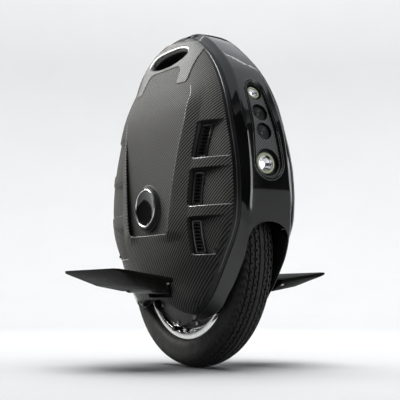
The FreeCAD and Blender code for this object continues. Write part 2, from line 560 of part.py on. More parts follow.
tube = revolve_y(oval_profile(182.5, 20.5, 22.5)).cut(revolve_y(oval_profile(182.5, 18.5, 20.5)))
YOKE_IN, MAG_IN = 128.5, 122.5
rim = revolve_y([(YOKE_IN, -16.0), (142.0, -16.0), (145.0, -13.0), (146.5, -13.0), (146.5, -RIM_HW), (FLANGE_R - 1.5, -RIM_HW), (FLANGE_R, -28.5),
                 (FLANGE_R, -RIM_IN_HW), (BEAD_R, -RIM_IN_HW), (BEAD_R, -14.0), (150.0, -11.0), (150.0, 11.0), (BEAD_R, 14.0),
                 (BEAD_R, RIM_IN_HW), (FLANGE_R, RIM_IN_HW), (FLANGE_R, 28.5), (FLANGE_R - 1.5, RIM_HW), (146.5, RIM_HW), (146.5, 13.0), (145.0, 13.0),
                 (142.0, 16.0), (YOKE_IN, 16.0)])
mags = []
NM = 40
for i in range(NM):
    f = poly_face([V(MAG_IN, -15.0, AXLE_Z), V(YOKE_IN, -15.0, AXLE_Z), V(YOKE_IN, 15.0, AXLE_Z), V(MAG_IN, 15.0, AXLE_Z)])
    m = f.revolve(V(0, 0, AXLE_Z), V(0, 1, 0), 8.2)
    m.rotate(V(0, 0, AXLE_Z), V(0, 1, 0), 9.0 * i)
    mags.append(m)
magnets = Part.makeCompound(mags)
BRG_R, BRG_Y0, BRG_Y1 = 21.0, 25.0, 36.0
RUN = 0.06
mcover = revolve_y([(BRG_R, -24.9), (BRG_R, -36.0), (30.0, -36.0), (34.0, -30.0), (100.0, -28.5), (124.0, -22.5), (140.0, -20.5), (140.0, -16.0),
                    (122.0, -16.0), (116.0, -22.3), (96.0, -24.5), (16.0, -24.9)])
ribs = []
for i in range(12):
    b = prism_y([(33.0, AXLE_Z - 1.8), (100.0, AXLE_Z - 1.8), (100.0, AXLE_Z + 1.8), (33.0, AXLE_Z + 1.8)], -32.0, -28.0)
    b.rotate(V(0, 0, AXLE_Z), V(0, 1, 0), 30.0 * i)
    ribs.append(b)
mcover = fuse([mcover] + ribs)
bearing = revolve_y([(AXLE_R + RUN, -25.0), (BRG_R, -25.0), (BRG_R, -36.0), (AXLE_R + RUN, -36.0)])
mscr = []
for i in range(12):
    a = math.radians(30 * i + 15)
    x, z = 134.0 * math.cos(a), AXLE_Z + 134.0 * math.sin(a)
    s = fuse([cyl_y(x, z, 3.4, -24.2, -21.0), cyl_y(x, z, 1.8, -21.0, -8.0)])
    s = s.cut(Part.makeCylinder(1.6, 1.8, V(x, -24.2, z), V(0, 1, 0)))
    mcover = mcover.cut(cyl_y(x, z, 3.4, -40, -21.0)).cut(cyl_y(x, z, 1.8, -30, 0))
    rim = rim.cut(cyl_y(x, z, 1.8, -30, -8.0)).cut(cyl_y(x, z, 1.8, 8.0, 30))
    mscr += [s, mirror_y(s)]
# valve: out of the tube, down through the rim barrel, then turned out to the right side
VALVE_A = -100.0
stem_up = Part.makeCylinder(4.0, 19.6, V(142.6, -21.5, AXLE_Z), V(1, 0, 0))
stem_out = Part.makeCylinder(4.0, 15.0, V(142.6, -36.5, AXLE_Z), V(0, 1, 0))
knee = Part.makeSphere(4.0, V(142.6, -21.5, AXLE_Z))
valve = fuse([stem_up, stem_out, knee])
valve.rotate(V(0, 0, AXLE_Z), V(0, 1, 0), -VALVE_A)
hole_v = Part.makeCylinder(4.0, 40.0, V(142.6, -21.5, AXLE_Z), V(1, 0, 0))
hole_v.rotate(V(0, 0, AXLE_Z), V(0, 1, 0), -VALVE_A)
rim = rim.cut(hole_v)
rim = rim.cut(Part.makeCylinder(4.6, 30.0, V(142.6, -46.0, AXLE_Z), V(0, 1, 0)).rotated(V(0, 0, AXLE_Z), V(0, 1, 0), -VALVE_A))
mcover_r = mcover.cut(Part.makeCylinder(4.6, 40.0, V(142.6, -50.0, AXLE_Z), V(0, 1, 0)).rotated(V(0, 0, AXLE_Z), V(0, 1, 0), -VALVE_A))
tube = tube.cut(Part.makeCylinder(4.0, 19.6, V(142.6, -21.5, AXLE_Z), V(1, 0, 0)).rotated(V(0, 0, AXLE_Z), V(0, 1, 0), -VALVE_A))
tyre = tyre.cut(hole_v.common(revolve_y([(150.0, -40.0), (172.0, -40.0), (172.0, 0.0), (150.0, 0.0)])))
valve_cap = Part.makeCylinder(4.8, 7.0, V(142.6, -40.5, AXLE_Z), V(0, 1, 0)).cut(Part.makeCylinder(4.0, 8.0, V(142.6, -36.5, AXLE_Z), V(0, 1, 0)))
valve_cap.rotate(V(0, 0, AXLE_Z), V(0, 1, 0), -VALVE_A)

# ---------------------------------------------------------------- pedals (right side, mirrored for the left)
prof = [(-128.0, 147.0), (-128.0, 170.5), (-PEDAL_Y1, 186.0), (-PEDAL_Y1, 183.6), (-182.0, 157.0)]
plate = prism_x(prof, -PEDAL_HX, PEDAL_HX)
plan = [V(-PEDAL_HX, -120, 0), V(PEDAL_HX, -120, 0), V(PEDAL_HX, -PEDAL_Y1 + 14, 0), V(PEDAL_HX - 14, -PEDAL_Y1, 0),
        V(-PEDAL_HX + 14, -PEDAL_Y1, 0), V(-PEDAL_HX, -PEDAL_Y1 + 14, 0)]
plate = plate.common(poly_face(plan).extrude(V(0, 0, 300)))
# two ears carry the hinge pin
ears = []
for x0 in (-58.0, 41.0):
    ears.append(cyl_x(-HINGE_Y, HINGE_Z, 11.0, x0, x0 + 17.0))
    ears.append(prism_x([(-HINGE_Y, 145.5), (-HINGE_Y, 164.5), (-130.0, 168.0), (-130.0, 147.5)], x0, x0 + 17.0))
pedal = fuse([plate] + ears)
pedal = pedal.cut(box(-40.7, 40.7, -136.0, -100.0, 130, 200))
pedal = pedal.cut(cyl_x(-HINGE_Y, HINGE_Z, PIN_R, -80, 80))
ang = math.degrees(math.atan2(186.0 - 170.5, PEDAL_Y1 - 128.0))
# grip pad let into the top face
pad = prism_x([(-141.0, 170.5 + 13.0 * math.tan(math.radians(ang)) - 1.4), (-141.0, 170.5 + 13.0 * math.tan(math.radians(ang)) + 0.9),
               (-233.0, 170.5 + 105.0 * math.tan(math.radians(ang)) + 0.9), (-233.0, 170.5 + 105.0 * math.tan(math.radians(ang)) - 1.4)],
              -PEDAL_HX + 7, PEDAL_HX - 7)
pad = pad.common(poly_face([V(-PEDAL_HX + 7, -136, 0), V(PEDAL_HX - 7, -136, 0), V(PEDAL_HX - 7, -PEDAL_Y1 + 20, 0), V(PEDAL_HX - 20, -PEDAL_Y1 + 7, 0),
                            V(-PEDAL_HX + 20, -PEDAL_Y1 + 7, 0), V(-PEDAL_HX + 7, -PEDAL_Y1 + 20, 0)]).extrude(V(0, 0, 300)))
pedal = pedal.cut(pad)
pin = cyl_x(-HINGE_Y, HINGE_Z, PIN_R, -59.5, 59.5)

# ---------------------------------------------------------------- write the pieces
put("centre_frame", centre_frame)
put("front_fascia", front_fascia)
put("rear_fascia", rear_fascia)
put("top_bridge", top_bridge)
put("handle_grip", handle_grip)
put("side_cover_right", cover)
put("side_cover_left", mirror_y(cover))
put("handle_panel_right", panel)
put("handle_panel_left", mirror_y(panel))
put("vent_grilles_right", grilles)
put("vent_grilles_left", mirror_y(grilles))
put("side_bosses", Part.makeCompound([boss, mirror_y(boss)]))
put("boss_rings", Part.makeCompound([ring, mirror_y(ring)]))
put("boss_caps", Part.makeCompound([cap, mirror_y(cap)]))
put("lamp_panel", lamp_panel)
put("lamp_bezel", lamp_bezel)
put("upper_lamp_reflector", upper_reflector)
put("upper_lamp_lens", upper_lens)
put("lower_lamp_reflector", lower_reflector)
put("lower_lamp_lens", lower_lens)
put("lamp_leds", lamp_leds)
put("front_speakers", Part.makeCompound(spk))
put("tail_lamp_housing", tail_housing)
put("tail_lamp_lens", tail_lens)
put("charge_socket", charge_socket)
put("cover_screws", Part.makeCompound(scr + [mirror_y(s) for s in scr]))
put("axle", axle)
put("axle_nuts", Part.makeCompound([nut, mirror_y(nut)]))
put("stator_spider", spider)
put("stator_core", stator)
put("stator_windings", windings)
put("pedal_hanger_right", hanger)
put("pedal_hanger_left", mirror_y(hanger))
put("hanger_bolts", Part.makeCompound(bolts + [mirror_y(b) for b in bolts]))
put("battery_pack_right", battery)
put("battery_pack_left", mirror_y(battery))
put("control_board", control_board)
put("heat_sink", heat_sink)
put("cooling_fan", fan)
put("tyre", tyre)
put("inner_tube", tube)
put("rim", rim)
put("motor_cover_right", mcover_r)
put("motor_cover_left", mirror_y(mcover))
put("motor_magnets", magnets)
put("wheel_bearings", Part.makeCompound([bearing, mirror_y(bearing)]))
put("motor_cover_screws", Part.makeCompound(mscr))
put("valve_stem", valve)
put("valve_cap", valve_cap)
put("pedal_right", pedal)
put("pedal_left", mirror_y(pedal))
put("pedal_grip_right", pad)
put("pedal_grip_left", mirror_y(pad))
put("pedal_pin_right", pin)
put("pedal_pin_left", mirror_y(pin))
put("power_button", power_button)
put("lift_button", lift_button)
put("charge_cap", charge_cap)
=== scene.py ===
import json
import math
import bpy
import bmesh
import numpy as np
from mathutils import Vector, Matrix
from mathutils.geometry import delaunay_2d_cdt

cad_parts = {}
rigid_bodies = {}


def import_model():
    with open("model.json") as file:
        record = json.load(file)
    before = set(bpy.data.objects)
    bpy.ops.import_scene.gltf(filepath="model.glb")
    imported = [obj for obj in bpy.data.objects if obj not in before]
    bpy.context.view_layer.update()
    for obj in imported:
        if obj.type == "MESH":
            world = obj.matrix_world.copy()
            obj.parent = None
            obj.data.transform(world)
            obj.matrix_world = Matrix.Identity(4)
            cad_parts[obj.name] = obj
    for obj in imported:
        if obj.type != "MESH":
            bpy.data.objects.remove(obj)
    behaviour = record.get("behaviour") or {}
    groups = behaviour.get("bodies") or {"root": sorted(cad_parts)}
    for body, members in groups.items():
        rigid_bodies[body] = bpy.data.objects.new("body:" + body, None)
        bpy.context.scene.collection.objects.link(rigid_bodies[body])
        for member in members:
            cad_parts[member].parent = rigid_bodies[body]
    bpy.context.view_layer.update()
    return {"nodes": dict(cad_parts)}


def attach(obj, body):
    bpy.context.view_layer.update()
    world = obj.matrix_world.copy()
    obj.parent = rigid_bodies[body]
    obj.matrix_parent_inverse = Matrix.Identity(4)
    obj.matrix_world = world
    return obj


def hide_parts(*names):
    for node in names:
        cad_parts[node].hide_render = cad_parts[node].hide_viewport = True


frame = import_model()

MM = 0.001
SCN = bpy.context.scene

# ------------------------------------------------------------------ dimensions (mm, as in the construction)
TYRE_R, TYRE_HW, AXLE_Z = 215.0, 36.0, 215.0
SLOT_HW, ARCH_Z, ARCH_RISE, SPLIT_Z = 44.5, 270.0, 40.0, 572.0
HINGE_Y, HINGE_Z, PEDAL_HX, PEDAL_Y1 = 122.0, 155.0, 113.0, 240.0
BOSS_Z, BOSS_R = 306.0, 47.0
HOLE_X, HOLE_Z, HOLE_HX, HOLE_HZ = -7.5, 606.5, 58.5, 19.0
LAMP_LO_Z, LAMP_LO_R = 378.0, 19.0
LAMP_UP_Z, LAMP_UP_R = 516.0, 13.5
SPK_Z, SPK_R = (437.0, 474.0), 14.5
BEZ_LO_R, BEZ_UP_R, BEZ_W = 34.0, 23.0, 6.0
PORT_Z, BUTTON_Z = 520.0, 553.0
EM_T = [(87, 30), (88, 44), (95, 107), (104, 130), (116, 152), (141, 175), (158, 191), (180, 206),
        (209, 224), (246, 236), (270, 239.5), (318, 241), (355, 239), (425, 229), (489, 207),
        (557, 169.5), (589, 141), (616, 110), (638, 80), (650, 57), (656, 40), (660, 20)]
XS_T = [(87, 12), (94, 20), (95, 30), (102, 84), (115, 112), (133, 136), (181, 173), (212, 194), (243, 214),
        (278, 228), (318, 231), (358, 228.5), (398, 221), (438, 209), (500, 188), (546, 163),
        (587, 129), (610, 101), (626, 76), (640, 50), (648, 30), (655, 12), (660, 6)]
W_T = [(94, 58.5), (97, 60), (110, 74), (130, 84), (160, 93), (190, 102), (220, 109.5), (254, 116),
       (290, 119), (340, 119.5), (390, 119), (437, 117), (484, 112), (520, 103), (550, 91),
       (575, 79), (608, 63), (625, 53), (640, 42), (648, 36), (655, 32)]
YS_T = [(87, 58), (318, 58), (438, 55), (500, 52), (546, 48), (587, 44), (610, 41), (626, 38),
        (640, 35), (655, 31), (660, 30)]
YG_T = [(87, 46), (300, 46), (318, 45), (355, 43), (425, 42), (489, 40), (557, 33), (589, 30),
        (640, 25), (660, 22)]
SUP_P, SUP_Q = 2.5, 0.72


def pchip(tab):
    xs = np.array([t[0] for t in tab], float)
    ys = np.array([t[1] for t in tab], float)
    n = len(xs)
    h = np.diff(xs)
    d = np.diff(ys) / h
    m = np.zeros(n)
    m[0], m[-1] = d[0], d[-1]
    for i in range(1, n - 1):
        if d[i - 1] * d[i] > 0:
            w1, w2 = 2 * h[i] + h[i - 1], h[i] + 2 * h[i - 1]
            m[i] = (w1 + w2) / (w1 / d[i - 1] + w2 / d[i])

    def f(x):
        x = np.clip(np.asarray(x, float), xs[0], xs[-1])
        i = np.clip(np.searchsorted(xs, x, side="right") - 1, 0, n - 2)
        t = (x - xs[i]) / h[i]
        return ((2 * t ** 3 - 3 * t ** 2 + 1) * ys[i] + (t ** 3 - 2 * t ** 2 + t) * h[i] * m[i]
                + (-2 * t ** 3 + 3 * t ** 2) * ys[i + 1] + (t ** 3 - t ** 2) * h[i] * m[i + 1])
    return f


EM, XS, WW, YS, YG = pchip(EM_T), pchip(XS_T), pchip(W_T), pchip(YS_T), pchip(YG_T)


def cover_w(x, z):
    s = np.minimum(1.0, np.abs(x) / XS(z))
    return YS(z) + (WW(z) - YS(z)) * (1 - s ** SUP_P) ** SUP_Q


def smooth01(t):
    t = np.clip(t, 0.0, 1.0)
    return t * t * (3 - 2 * t)


REAR_X = pchip([(500, 0), (545, 0), (573, 7.6), (590, 13), (609, 18), (625, 23), (636, 27), (644, 28), (650, 24), (655, 16), (660, 6)])
REAR_Y = pchip([(500, 0), (550, 0), (580, 3), (609, 5), (633, 6), (648, 5), (660, 2)])


def rear_full(P):
    """The top of the body is fuller towards the rear."""
    P = np.array(P, float)
    x, y, z = P[..., 0].copy(), P[..., 1].copy(), P[..., 2]
    t = smooth01((-x / np.maximum(XS(z), 12.0) - 0.1) / 0.9)
    P[..., 0] = x - REAR_X(z) * t
    P[..., 1] = y * (1 + REAR_Y(z) * t / np.maximum(np.abs(y), YG(z)))
    return P


# ------------------------------------------------------------------ mesh helpers
def make(name, verts, faces, mats, midx=None, smooth=True, sharp=35.0, normals=None):
    me = bpy.data.meshes.new(name)
    v = np.asarray(verts, float) * MM
    me.from_pydata(v.tolist(), [], [tuple(int(i) for i in f) for f in faces])
    for m in mats:
        me.materials.append(m)
    if midx is not None:
        me.polygons.foreach_set("material_index", np.asarray(midx, np.int32))
    me.polygons.foreach_set("use_smooth", np.full(len(me.polygons), smooth))
    me.update()
    if smooth and sharp is not None and normals is None:
        me.set_sharp_from_angle(angle=math.radians(sharp))
    if normals is not None:
        me.normals_split_custom_set_from_vertices([tuple(n) for n in normals])
    o = bpy.data.objects.new(name, me)
    SCN.collection.objects.link(o)
    return o


def piece(o, body, nodes=()):
    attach(o, body)
    if nodes:
        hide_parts(*nodes)
    return o


def grid_faces(nr, nc, wrap_r=False, wrap_c=False, flip=False, keep=None, base=0):
    r = np.arange(nr if wrap_r else nr - 1)
    c = np.arange(nc if wrap_c else nc - 1)
    R, C = np.meshgrid(r, c, indexing="ij")
    R2, C2 = (R + 1) % nr, (C + 1) % nc
    q = np.stack([R * nc + C, R * nc + C2, R2 * nc + C2, R2 * nc + C], -1)
    if flip:
        q = q[..., ::-1]
    q = q + base
    if keep is not None:
        return q[keep]
    return q.reshape(-1, 4)


def lathe(prof, segs=128, closed=False):
    """Points of (radius, y) turned about the Y axis through the origin: verts, quads. Listed so that outward is right of the way it runs, seen with r up and y to the right."""
    a = np.linspace(0, 2 * math.pi, segs, endpoint=False)
    p = np.asarray(prof, float)
    P = np.zeros((segs, len(p), 3))
    P[..., 0] = np.cos(a)[:, None] * p[None, :, 0]
    P[..., 2] = np.sin(a)[:, None] * p[None, :, 0]
    P[..., 1] = p[None, :, 1]
    return P.reshape(-1, 3), grid_faces(segs, len(p), wrap_r=True, wrap_c=closed)


def join(parts):
    """parts: list of (verts, faces, material index) -> verts, faces, midx"""
    V, F, M = [], [], []
    n = 0
    for v, f, m in parts:
        v = np.asarray(v, float)
        V.append(v)
        F += [tuple(int(i) + n for i in q) for q in f]
        M += [m] * len(f) if np.isscalar(m) else list(m)
        n += len(v)
    return np.concatenate(V), F, M


def box_mesh(cx, cy, cz, sx, sy, sz, M=None):
    v = np.array([(x, y, z) for x in (-.5, .5) for y in (-.5, .5) for z in (-.5, .5)]) * (sx, sy, sz)
    f = [(0, 1, 3, 2), (4, 6, 7, 5), (0, 4, 5, 1), (2, 3, 7, 6), (0, 2, 6, 4), (1, 5, 7, 3)]
    if M is not None:
        v = v @ np.asarray(M, float).T
    return v + (cx, cy, cz), f


def bevel(o, width, seg=2, angle=35.0):
    """Rounds an object's edges in place."""
    bm = bmesh.new()
    bm.from_mesh(o.data)
    bmesh.ops.remove_doubles(bm, verts=bm.verts, dist=1e-6)
    es = [e for e in bm.edges if len(e.link_faces) == 2 and e.calc_face_angle(0) > math.radians(angle)]
    bmesh.ops.bevel(bm, geom=es, offset=width * MM, offset_type="OFFSET", segments=seg, profile=0.5, affect="EDGES", clamp_overlap=True)
    for f in bm.faces:
        f.smooth = True
    bm.to_mesh(o.data)
    bm.free()
    o.data.set_sharp_from_angle(angle=math.radians(40))
    return o


def outward(o):
    bm = bmesh.new()
    bm.from_mesh(o.data)
    bmesh.ops.recalc_face_normals(bm, faces=bm.faces)
    bm.to_mesh(o.data)
    bm.free()
    return o


def hull_obj(name, pts, mats):
    bm = bmesh.new()
    for p in pts:
        bm.verts.new([c * MM for c in p])
    bmesh.ops.convex_hull(bm, input=bm.verts)
    bmesh.ops.dissolve_limit(bm, angle_limit=math.radians(1), verts=bm.verts, edges=bm.edges)
    bmesh.ops.recalc_face_normals(bm, faces=bm.faces)
    me = bpy.data.meshes.new(name)
    bm.to_mesh(me)
    bm.free()
    for m in mats:
        me.materials.append(m)
    o = bpy.data.objects.new(name, me)
    SCN.collection.objects.link(o)
    return o


def cut_with(o, cutters):
    """Cuts the cutter objects out of o, then removes them."""
    for c in cutters:
        m = o.modifiers.new("cut", "BOOLEAN")
        m.object, m.operation, m.solver = c, "DIFFERENCE", "EXACT"
    dg = bpy.context.evaluated_depsgraph_get()
    me = bpy.data.meshes.new_from_object(o.evaluated_get(dg))
    old = o.data
    o.modifiers.clear()
    o.data = me
    bpy.data.meshes.remove(old)
    for c in cutters:
        d = c.data
        bpy.data.objects.remove(c)
        bpy.data.meshes.remove(d)
    return o


def inside_poly(px, py, poly):
    c = np.zeros(np.shape(px), bool)
    n = len(poly)
    for i in range(n):
        x1, y1 = poly[i]
        x2, y2 = poly[(i + 1) % n]
        hit = ((y1 > py) != (y2 > py)) & (px < (x2 - x1) * (py - y1) / ((y2 - y1) if y2 != y1 else 1e-12) + x1)
        c ^= hit
    return c


def path_normals(p, closed=True):
    p = np.asarray(p, float)
    if closed:
        t = np.roll(p, -1, 0) - np.roll(p, 1, 0)
    else:
        t = np.gradient(p, axis=0)
    t /= np.linalg.norm(t, axis=1)[:, None]
    return np.stack([t[:, 1], -t[:, 0]], 1)      # right of the way it runs


def round_poly(pts, radii, n=6):
    """Polygon with its corners rounded."""
    out = []
    m = len(pts)
    for i in range(m):
        p0, p1, p2 = (np.array(pts[(i + k) % m], float) for k in (-1, 0, 1))
        r = radii[i] if not np.isscalar(radii) else radii
        a, b = p0 - p1, p2 - p1
        la, lb = np.linalg.norm(a), np.linalg.norm(b)
        a, b = a / la, b / lb
        ang = math.acos(float(np.clip(a @ b, -1, 1)))
        if r <= 0 or ang > math.pi - 0.05:
            out.append(p1)
            continue
        d = min(r / math.tan(ang / 2), 0.48 * la, 0.48 * lb)
        q0, q2 = p1 + a * d, p1 + b * d
        for k in range(n + 1):
            t = k / n
            out.append((1 - t) ** 2 * q0 + 2 * t * (1 - t) * p1 + t * t * q2)
    return np.array(out)


def densify(p, step, closed=True):
    out = []
    m = len(p)
    for i in range(m if closed else m - 1):
        a, b = np.array(p[i], float), np.array(p[(i + 1) % m], float)
        k = max(1, int(math.ceil(np.linalg.norm(b - a) / step)))
        for j in range(k):
            out.append(a + (b - a) * j / k)
    if not closed:
        out.append(np.array(p[-1], float))
    return np.array(out)


# ------------------------------------------------------------------ materials
class Mat:
    def __init__(self, name):
        self.m = bpy.data.materials.new(name)
        self.m.use_nodes = True
        self.t = self.m.node_tree
        self.b = next(n for n in self.t.nodes if n.type == "BSDF_PRINCIPLED")
        self.co = self.t.nodes.new("ShaderNodeTexCoord")

    def n(self, kind, **kw):
        nd = self.t.nodes.new("ShaderNode" + kind)
        for k, v in kw.items():
            setattr(nd, k, v)
        return nd

    def l(self, a, b):
        self.t.links.new(a, b)

    def set(self, **kw):
        for k, v in kw.items():
            s = self.b.inputs[k.replace("_", " ")]
            if hasattr(s.default_value, "__len__") and not hasattr(v, "__len__"):
                v = (v, v, v, 1)
            elif hasattr(v, "__len__") and len(v) == 3 and len(s.default_value) == 4:
                v = (*v, 1)
            s.default_value = v
        return self

    def math(self, op, a, b=None, c=None):
        nd = self.n("Math", operation=op)
        for i, x in enumerate((a, b, c)):
            if x is None:
                continue
            if hasattr(x, "links") or hasattr(x, "is_output"):
                self.l(x, nd.inputs[i])
            else:
                nd.inputs[i].default_value = x
        return nd.outputs[0]

    def noise(self, scale, detail=4.0, rough=0.55, vec=None, dist=0.0):
        nd = self.n("TexNoise")
        nd.inputs["Scale"].default_value = scale
        nd.inputs["Detail"].default_value = detail
        nd.inputs["Roughness"].default_value = rough
        nd.inputs["Distortion"].default_value = dist
        self.l(vec if vec is not None else self.co.outputs["Object"], nd.inputs["Vector"])
        return nd.outputs["Fac"]

    def ramp(self, fac, stops):
        nd = self.n("ValToRGB")
        e = nd.color_ramp.elements
        while len(e) < len(stops):
            e.new(0.5)
        for el, (p, c) in zip(e, stops):
            el.position = p
            el.color = (c, c, c, 1) if np.isscalar(c) else (*c, 1)
        self.l(fac, nd.inputs["Fac"])
        return nd.outputs["Color"]

    def maprange(self, fac, a, b, lo=0.3, hi=0.7):
        nd = self.n("MapRange")
        nd.inputs["From Min"].default_value = lo
        nd.inputs["From Max"].default_value = hi
        nd.inputs["To Min"].default_value = a
        nd.inputs["To Max"].default_value = b
        self.l(fac, nd.inputs["Value"])
        return nd.outputs["Result"]

    def mix(self, fac, a, b):
        nd = self.n("Mix", data_type="RGBA")
        self.l(fac, nd.inputs[0])
        for s, x in ((nd.inputs[6], a), (nd.inputs[7], b)):
            if hasattr(x, "is_output"):
                self.l(x, s)
            else:
                s.default_value = (x, x, x, 1) if np.isscalar(x) else (*x, 1)
        return nd.outputs[2]

    def bump(self, height, strength, dist):
        nd = self.n("Bump")
        nd.inputs["Strength"].default_value = strength
        nd.inputs["Distance"].default_value = dist
        self.l(height, nd.inputs["Height"])
        self.l(nd.outputs["Normal"], self.b.inputs["Normal"])
        return nd

    def color(self, out):
        self.l(out, self.b.inputs["Base Color"])

    def rough(self, out):
        self.l(out, self.b.inputs["Roughness"])


def surf(name, c1, c2, r1, r2, metal=0.0, coat=0.0, coat_r=0.1, scale=60.0, bump=None, spec=0.5):
    """Plain surface with a soft variation of colour and roughness and a fine grain."""
    s = Mat(name)
    f = s.noise(scale, 5.0, 0.6)
    s.color(s.ramp(f, [(0.3, c1), (0.7, c2)]))
    g = s.noise(scale * 2.7, 3.0, 0.5)
    s.rough(s.maprange(g, r1, r2))
    s.set(Metallic=metal, Coat_Weight=coat, Coat_Roughness=coat_r, Specular_IOR_Level=spec)
    if bump:
        s.bump(s.noise(bump[0], 3.0, 0.6), bump[1], bump[2])
    return s.m


def woven(name, dark, light, pitch, r0, coat, coat_r, bump_s, plane="XZ", lean="SUBTRACT", spec=0.22):
    """Diagonal two-over-two weave under a satin lacquer; the tows on top and each tow's crown are painted lighter, a
    painted sheen over the real weave pattern.
    """
    s = Mat(name)
    sep = s.n("SeparateXYZ")
    s.l(s.co.outputs["Object"], sep.inputs[0])
    u = s.math("MULTIPLY", sep.outputs[plane[0]], 1.0 / pitch)
    v = s.math("MULTIPLY", sep.outputs[plane[1]], 1.0 / pitch)
    i, j = s.math("FLOOR", u), s.math("FLOOR", v)
    k = s.math("FLOORED_MODULO", s.math(lean, i, j), 4.0)
    over = s.math("LESS_THAN", k, 1.5)
    fu, fv = s.math("FRACT", u), s.math("FRACT", v)
    hu = s.math("SINE", s.math("MULTIPLY", fu, math.pi))
    hv = s.math("SINE", s.math("MULTIPLY", fv, math.pi))
    nd = s.n("Mix", data_type="FLOAT")
    s.l(over, nd.inputs[0])
    s.l(hv, nd.inputs[2])
    s.l(hu, nd.inputs[3])
    h = nd.outputs[0]
    big = s.noise(9.0, 3.0, 0.5)
    # painted sheen: the tows lying on top and the crown of each tow are made lighter in the colour
    tone_and_sheen = s.math("ADD", s.math("MULTIPLY", over, 0.72), s.math("MULTIPLY", h, 0.28))
    tone_and_sheen = s.math("ADD", s.math("MULTIPLY", tone_and_sheen, 0.86), s.math("MULTIPLY", big, 0.14))
    s.color(s.ramp(tone_and_sheen, [(0.22, dark), (0.88, light)]))
    s.rough(s.maprange(s.math("ADD", s.math("MULTIPLY", over, 0.35), s.noise(180.0, 3.0)), r0, r0 + 0.12, 0.3, 1.0))
    s.set(Coat_Weight=coat, Coat_Roughness=coat_r, Specular_IOR_Level=spec)
    s.bump(h, bump_s, 0.0003)
    return s.m


M_CARBON = woven("woven_cover", (0.0013, 0.0013, 0.0013), (0.172, 0.172, 0.159), 0.0017, 0.40, 0.0, 0.28, 1.0, spec=0.11)
# handle panel: a lighter copy of the cover weave, a painted sheen where the panel faces the key light
M_PANEL_LIT = woven("woven_panel", (0.004, 0.004, 0.004), (0.310, 0.310, 0.300), 0.0017, 0.38, 0.0, 0.30, 1.0, spec=0.36)
# near-white weave for the ridge's rounded edge: a painted highlight
M_CREASE_HIGHLIGHT = woven("woven_crease_painted_highlight", (0.060, 0.060, 0.058), (0.800, 0.795, 0.770), 0.0017, 0.28, 0.3, 0.2, 0.8)
M_INSERT = woven("woven_insert", (0.010, 0.010, 0.010), (0.200, 0.200, 0.198), 0.0015, 0.40, 0.2, 0.3, 0.6, "YZ", "ADD")
M_RIMBAND = surf("cover_rim_satin", (0.004, 0.004, 0.0043), (0.0065, 0.0065, 0.0068), 0.28, 0.38, bump=(1400.0, 0.05, 0.0002), spec=0.34)
M_GLOSS = surf("gloss_black", (0.0055, 0.0055, 0.006), (0.009, 0.009, 0.0095), 0.07, 0.12, coat=0.9, coat_r=0.05, scale=14.0, spec=0.15)
M_PLASTIC = surf("dark_plastic", (0.009, 0.009, 0.009), (0.015, 0.015, 0.0155), 0.42, 0.55, bump=(900.0, 0.12, 0.0003), spec=0.3)
# dark joints and seams, and painted shade on floors of openings, wells and sleeves
M_JOINT_AND_SHADE = surf("joint_black_and_painted_shade", (0.004, 0.004, 0.004), (0.008, 0.008, 0.008), 0.6, 0.75)
# light grey on rounded lower edges of the black cover: a painted highlight of the sky
M_EDGE_HIGHLIGHT = surf("edge_painted_highlight", (0.26, 0.26, 0.26), (0.34, 0.34, 0.34), 0.16, 0.24, coat=0.9, coat_r=0.1)
# lighter finish on the rim's bead: a painted highlight
M_BEAD_HIGHLIGHT = surf("rim_bead_painted_highlight", (0.050, 0.050, 0.051), (0.070, 0.070, 0.071), 0.20, 0.28, coat=0.6, coat_r=0.12)
# black walls of the lamp wells; on the woven covers it is painted shade on recess walls
M_WALL_BLACK_SHADE = surf("wall_black_and_painted_shade", (0.003, 0.003, 0.003), (0.006, 0.006, 0.006), 0.38, 0.5, spec=0.2)
M_LIP = surf("handle_lip", (0.060, 0.060, 0.061), (0.080, 0.080, 0.081), 0.26, 0.34, coat=0.4, coat_r=0.2)
M_GRILLE = surf("vent_grille", (0.009, 0.009, 0.009), (0.015, 0.015, 0.015), 0.34, 0.46, spec=0.35)
# a lighter copy of the grille black on the frames: a painted highlight along their rounded rims
M_FRAME_HIGHLIGHT = surf("vent_frame_painted_highlight", (0.030, 0.030, 0.030), (0.046, 0.046, 0.045), 0.20, 0.30, coat=0.6, coat_r=0.14)
M_TYRE = surf("tyre_rubber", (0.026, 0.026, 0.0245), (0.042, 0.0415, 0.039), 0.56, 0.76, scale=35.0, bump=(1600.0, 0.25, 0.0003), spec=0.25)
M_RUBBER = surf("black_rubber", (0.012, 0.012, 0.012), (0.018, 0.018, 0.018), 0.55, 0.7, bump=(1500.0, 0.2, 0.0002))
M_CHROME = surf("bright_metal", (0.74, 0.74, 0.75), (0.82, 0.82, 0.82), 0.10, 0.18, metal=1.0)
M_RIM = surf("rim_polished", (0.70, 0.70, 0.69), (0.80, 0.80, 0.79), 0.16, 0.27, metal=1.0, scale=40.0, bump=(700.0, 0.03, 0.0002))
M_STEEL = surf("machined_steel", (0.38, 0.38, 0.39), (0.48, 0.48, 0.49), 0.24, 0.36, metal=1.0, scale=120.0)
M_CAST = surf("black_cast_alloy", (0.006, 0.006, 0.006), (0.010, 0.010, 0.010), 0.34, 0.48, bump=(650.0, 0.25, 0.0004), spec=0.3)
M_ALLOY = surf("cast_alloy", (0.42, 0.42, 0.43), (0.52, 0.52, 0.52), 0.35, 0.5, metal=1.0, bump=(500.0, 0.15, 0.0003))
